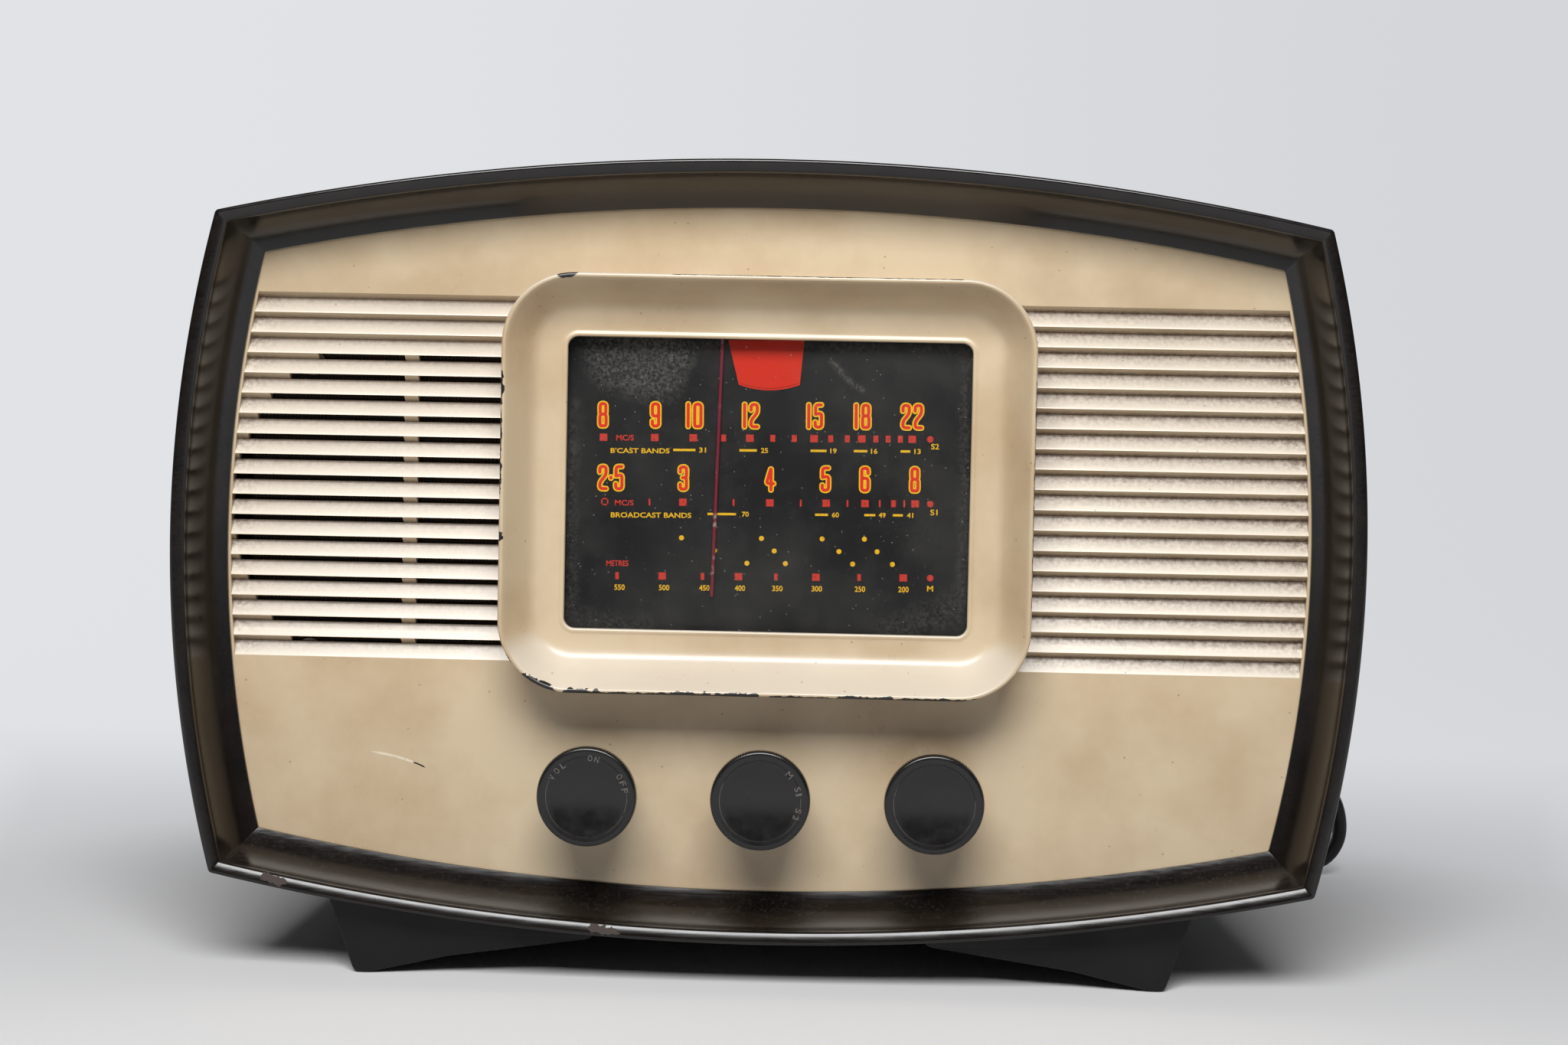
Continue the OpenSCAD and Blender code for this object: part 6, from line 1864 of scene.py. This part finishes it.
@dataclass
class Knob:
    """Knob with a ribbed rim, an engraved ring on its face, a narrower body and a hollow back."""

    x: float
    body: str
    node: str
    letters: Tuple[Tuple[str, float], ...] = ()
    z: float = 59.5
    face: float = -96.0
    length: float = 21.0
    radius: float = 15.5
    tail: float = 11.25
    dish: float = 1.3
    ribs: int = 120
    groove: float = 12.5
    shaft: float = 3.2
    rib_depth: float = 0.28
    letter_circle: float = 12.1
    letter_height: float = 1.9

    def build(self) -> None:
        """Lathes the knob with its ribs as a ripple of the radius, paints a pale highlight along the ring's
        groove, then sets the faint letters.
        """
        r, g, n, t = self.radius, self.groove, self.length, self.tail
        dish = [(k * 0.1 * (g - 0.6), 0.2 + self.dish * (1 - (0.1 * k) ** 2)) for k in (0, 2, 4, 6, 7, 8, 9)]
        face = [(g - 0.6, 0.2), (g - 0.16, 0.16), (g - 0.1, 0.42), (g + 0.1, 0.42), (g + 0.16, 0.14),
                (g + 0.6, 0.1), (g + 0.95, 0.06), (g + 1.3, 0.02), (r - 1.0, 0.0), (r - 0.55, 0.16)]
        rim = [(r - 0.2, 0.5), (r - 0.05, 0.9), (r, 1.4), (r, 2.6), (r - 0.05, 3.4), (r - 0.25, 3.9),
               (r - 0.7, 4.3)]
        back = [(t + 0.3, n - 0.8), (t, n - 0.3), (t - 0.4, n), (t - 1.6, n), (r - 3.6, 5.0), (7.0, 5.0),
                (7.0, n), (self.shaft, n), (self.shaft, 5.0), (0, 5.0)]
        # How deep the ribs are cut on each row of the rim
        cut = np.array([0] * len(dish + face) + [0.5, 0.9, 1, 1, 1, 0.6, 0.2] + [0] * len(back))[:, None]
        columns = 4 * self.ribs
        angle = np.linspace(0, 2 * math.pi, columns, endpoint=False)
        wave = -self.rib_depth * (0.5 - 0.5 * np.cos(self.ribs * angle))[None, :] ** 0.7
        skin = Skin()
        skin.lathe((self.x, self.face, self.z), dish + face + rim + back, "Y", columns, cut * wave)
        skin.build(self.node + "_ribbed", KnobBlack().material(), "knob_black", self.body, (self.node,),
                   crease=60)
        # Painted highlight: a thin pale stroke along the groove of the face's ring
        arc = np.radians(np.linspace(150, 370, 60))
        ring = np.stack([self.x + g * np.cos(arc), self.z + g * np.sin(arc)], -1)
        stroke(self.node + "_ring_highlight", ring, 0.19, self.face + 0.4, RING_HIGHLIGHT_AND_FILLER.material(), "knob_black",
               self.body)
        for text, turn in self.letters:
            a, out = math.radians(turn), self.letter_circle
            wide = {"1": 0.8, "M": 1.9}.get(text, 1.45)
            row = (text, self.x + out * math.cos(a), self.z + out * math.sin(a), wide, self.letter_height)
            lettering(f"{self.node}_letter_{len(bpy.data.objects)}", [row], self.face + 0.03,
                      RING_HIGHLIGHT_AND_FILLER.material(), "knob_black", self.body, a - math.pi / 2)
        LOG.info("knob: %s", self.node)


@dataclass
class Foot:
    """Moulded wedge under one side of the cabinet, thin at its root and rounded at the sole."""

    side: int
    node: str
    start: float = -82.0
    length: float = 168.0
    root: float = 52.0
    bend: float = 98.0
    bend_height: float = 5.8
    sole_in: float = 122.6
    sole_out: float = 127.4
    top: float = 136.4
    rounding: float = 2.4
    middle: Flat = (118.0, 14.0)
    draw: float = 4.9
    draw_start: float = -89.9
    draw_length: float = 185.9

    def under(self, x: np.ndarray, y: np.ndarray) -> np.ndarray:
        """Height of the cabinet's underside: the crown's arc, drawn in toward the rear, less a hair."""
        draw = self.draw * np.clip(y - self.draw_start, 0, None) / self.draw_length
        return OUTLINE.centre - OUTLINE.crown_at(x, draw) + 0.15

    def build(self) -> None:
        """Carries the wedge's section along Y, with its top on the cabinet and its ends eased.

        Each end closes in five rows, and the outermost row is the section's middle alone.
        """
        eave, root = [OUTLINE.centre - float(OUTLINE.crown_at(np.array(x), 0)) for x in (self.top, self.root)]
        root -= 3.2
        lower = round_path([(self.root, root + 3.0), (self.root, root), (self.bend, self.bend_height),
                            (self.sole_in, 0), (self.sole_out, 0), (self.top, eave)], self.rounding, 7)
        back = np.linspace(self.top, self.root, 26)
        n = self.length
        y = self.start + np.array([0, 0, 0.15, 0.5, 1.2, 30, 60, 90, 120, 140, n - 1.2, n - 0.5, n - 0.15,
                                   n, n])
        pull = [None, 1.1, 0.6, 0.2, 0, 0, 0, 0, 0, 0, 0, 0.2, 0.6, 1.1, None]
        middle = np.array(self.middle)
        rows = []
        for depth, ease in zip(y, pull):
            top = np.stack([back, self.under(back, np.full(26, depth))], -1)
            loop = np.concatenate([lower, top])
            if ease is None:
                loop = np.repeat(middle[None, :], len(loop), 0)
            else:
                gap = middle - loop
                loop = loop + gap / np.linalg.norm(gap, axis=1, keepdims=True) * ease
                loop[len(lower):] = top
                loop[:, 1] = np.maximum(loop[:, 1], 0.0)
            rows.append(stand(loop * np.array([self.side, 1]), depth))
        skin = Skin()
        skin.sheet(np.array(rows), wrap=True)
        skin.build(self.node + "_wedge", FOOT.material(), "foot_black", stands_for=(self.node,), crease=40)
        LOG.info("foot: %s", self.node)


@dataclass
class Works:
    """The working parts inside, each with the finish of its own trade."""

    finishes: Tuple[Tuple[Finish, Tuple[str, ...]], ...] = (
        (ZINC, ("foot_screws", "panel_screws", "volume_control", "waveband_switch", "chassis", "dial_bracket",
                "gang_frame", "mains_transformer", "control_nuts", "back_cover_screws", "speaker_frame")),
        (STEEL, ("pointer_rail", "volume_spindle", "waveband_spindle", "tuning_spindle", "drum_spring")),
        (DULL_STEEL, ("grub_screw_volume", "grub_screw_waveband", "grub_screw_tuning", "speaker_screws",
                      "chassis_bolts")),
        (BRASS, ("pulley_left", "pulley_right", "tuning_bush", "plug_pins", "dial_lamps")),
        (ALUMINIUM, ("drive_drum", "gang_stators", "gang_rotor", "smoothing_capacitor", "if_cans")),
        (DARK_IRON, ("output_transformer", "speaker_magnet")),
        (CLOTH, ("speaker_cloth",)),
        (LINE, ("drive_cord",)),
        (BOARD, ("speaker_baffle",)),
        (PAPER, ("speaker_cone",)),
        (VALVE, ("signal_valves", "valve_output", "valve_rectifier")),
        (RESIN, ("valve_sockets", "coil_pack", "wiring_parts", "socket_strip")),
        (FIBRE, ("back_cover",)))

    def build(self) -> None:
        """Gives every CAD node that still shows its finish."""
        for finish, nodes in self.finishes:
            material = finish.material()
            for name in nodes:
                paint(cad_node(name), material)
            LOG.info("%s: %d nodes", finish.name, len(nodes))


def main() -> None:
    """Builds the radio in order."""
    logging.basicConfig(level=logging.INFO, format="%(name)s %(message)s")
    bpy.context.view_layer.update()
    PhotoCamera().build()
    MainsLead().build()
    Studio().build()
    Cabinet().build()
    FrontPanel().build()
    Surround().build()
    Dial().build()
    Knob(-53.4, "volume", "knob_volume", (("V", 151), ("O", 139), ("L", 127), ("O", 85), ("N", 75), ("O", 33),
                                          ("F", 22), ("F", 11))).build()
    Knob(0.0, "waveband", "knob_waveband", (("M", 43), ("S", 19), ("1", 11), ("S", -13), ("2", -24))).build()
    Knob(53.4, "tuning", "knob_tuning").build()
    Foot(-1, "foot_left").build()
    Foot(1, "foot_right").build()
    Works().build()


if __name__ == "__main__":
    main()
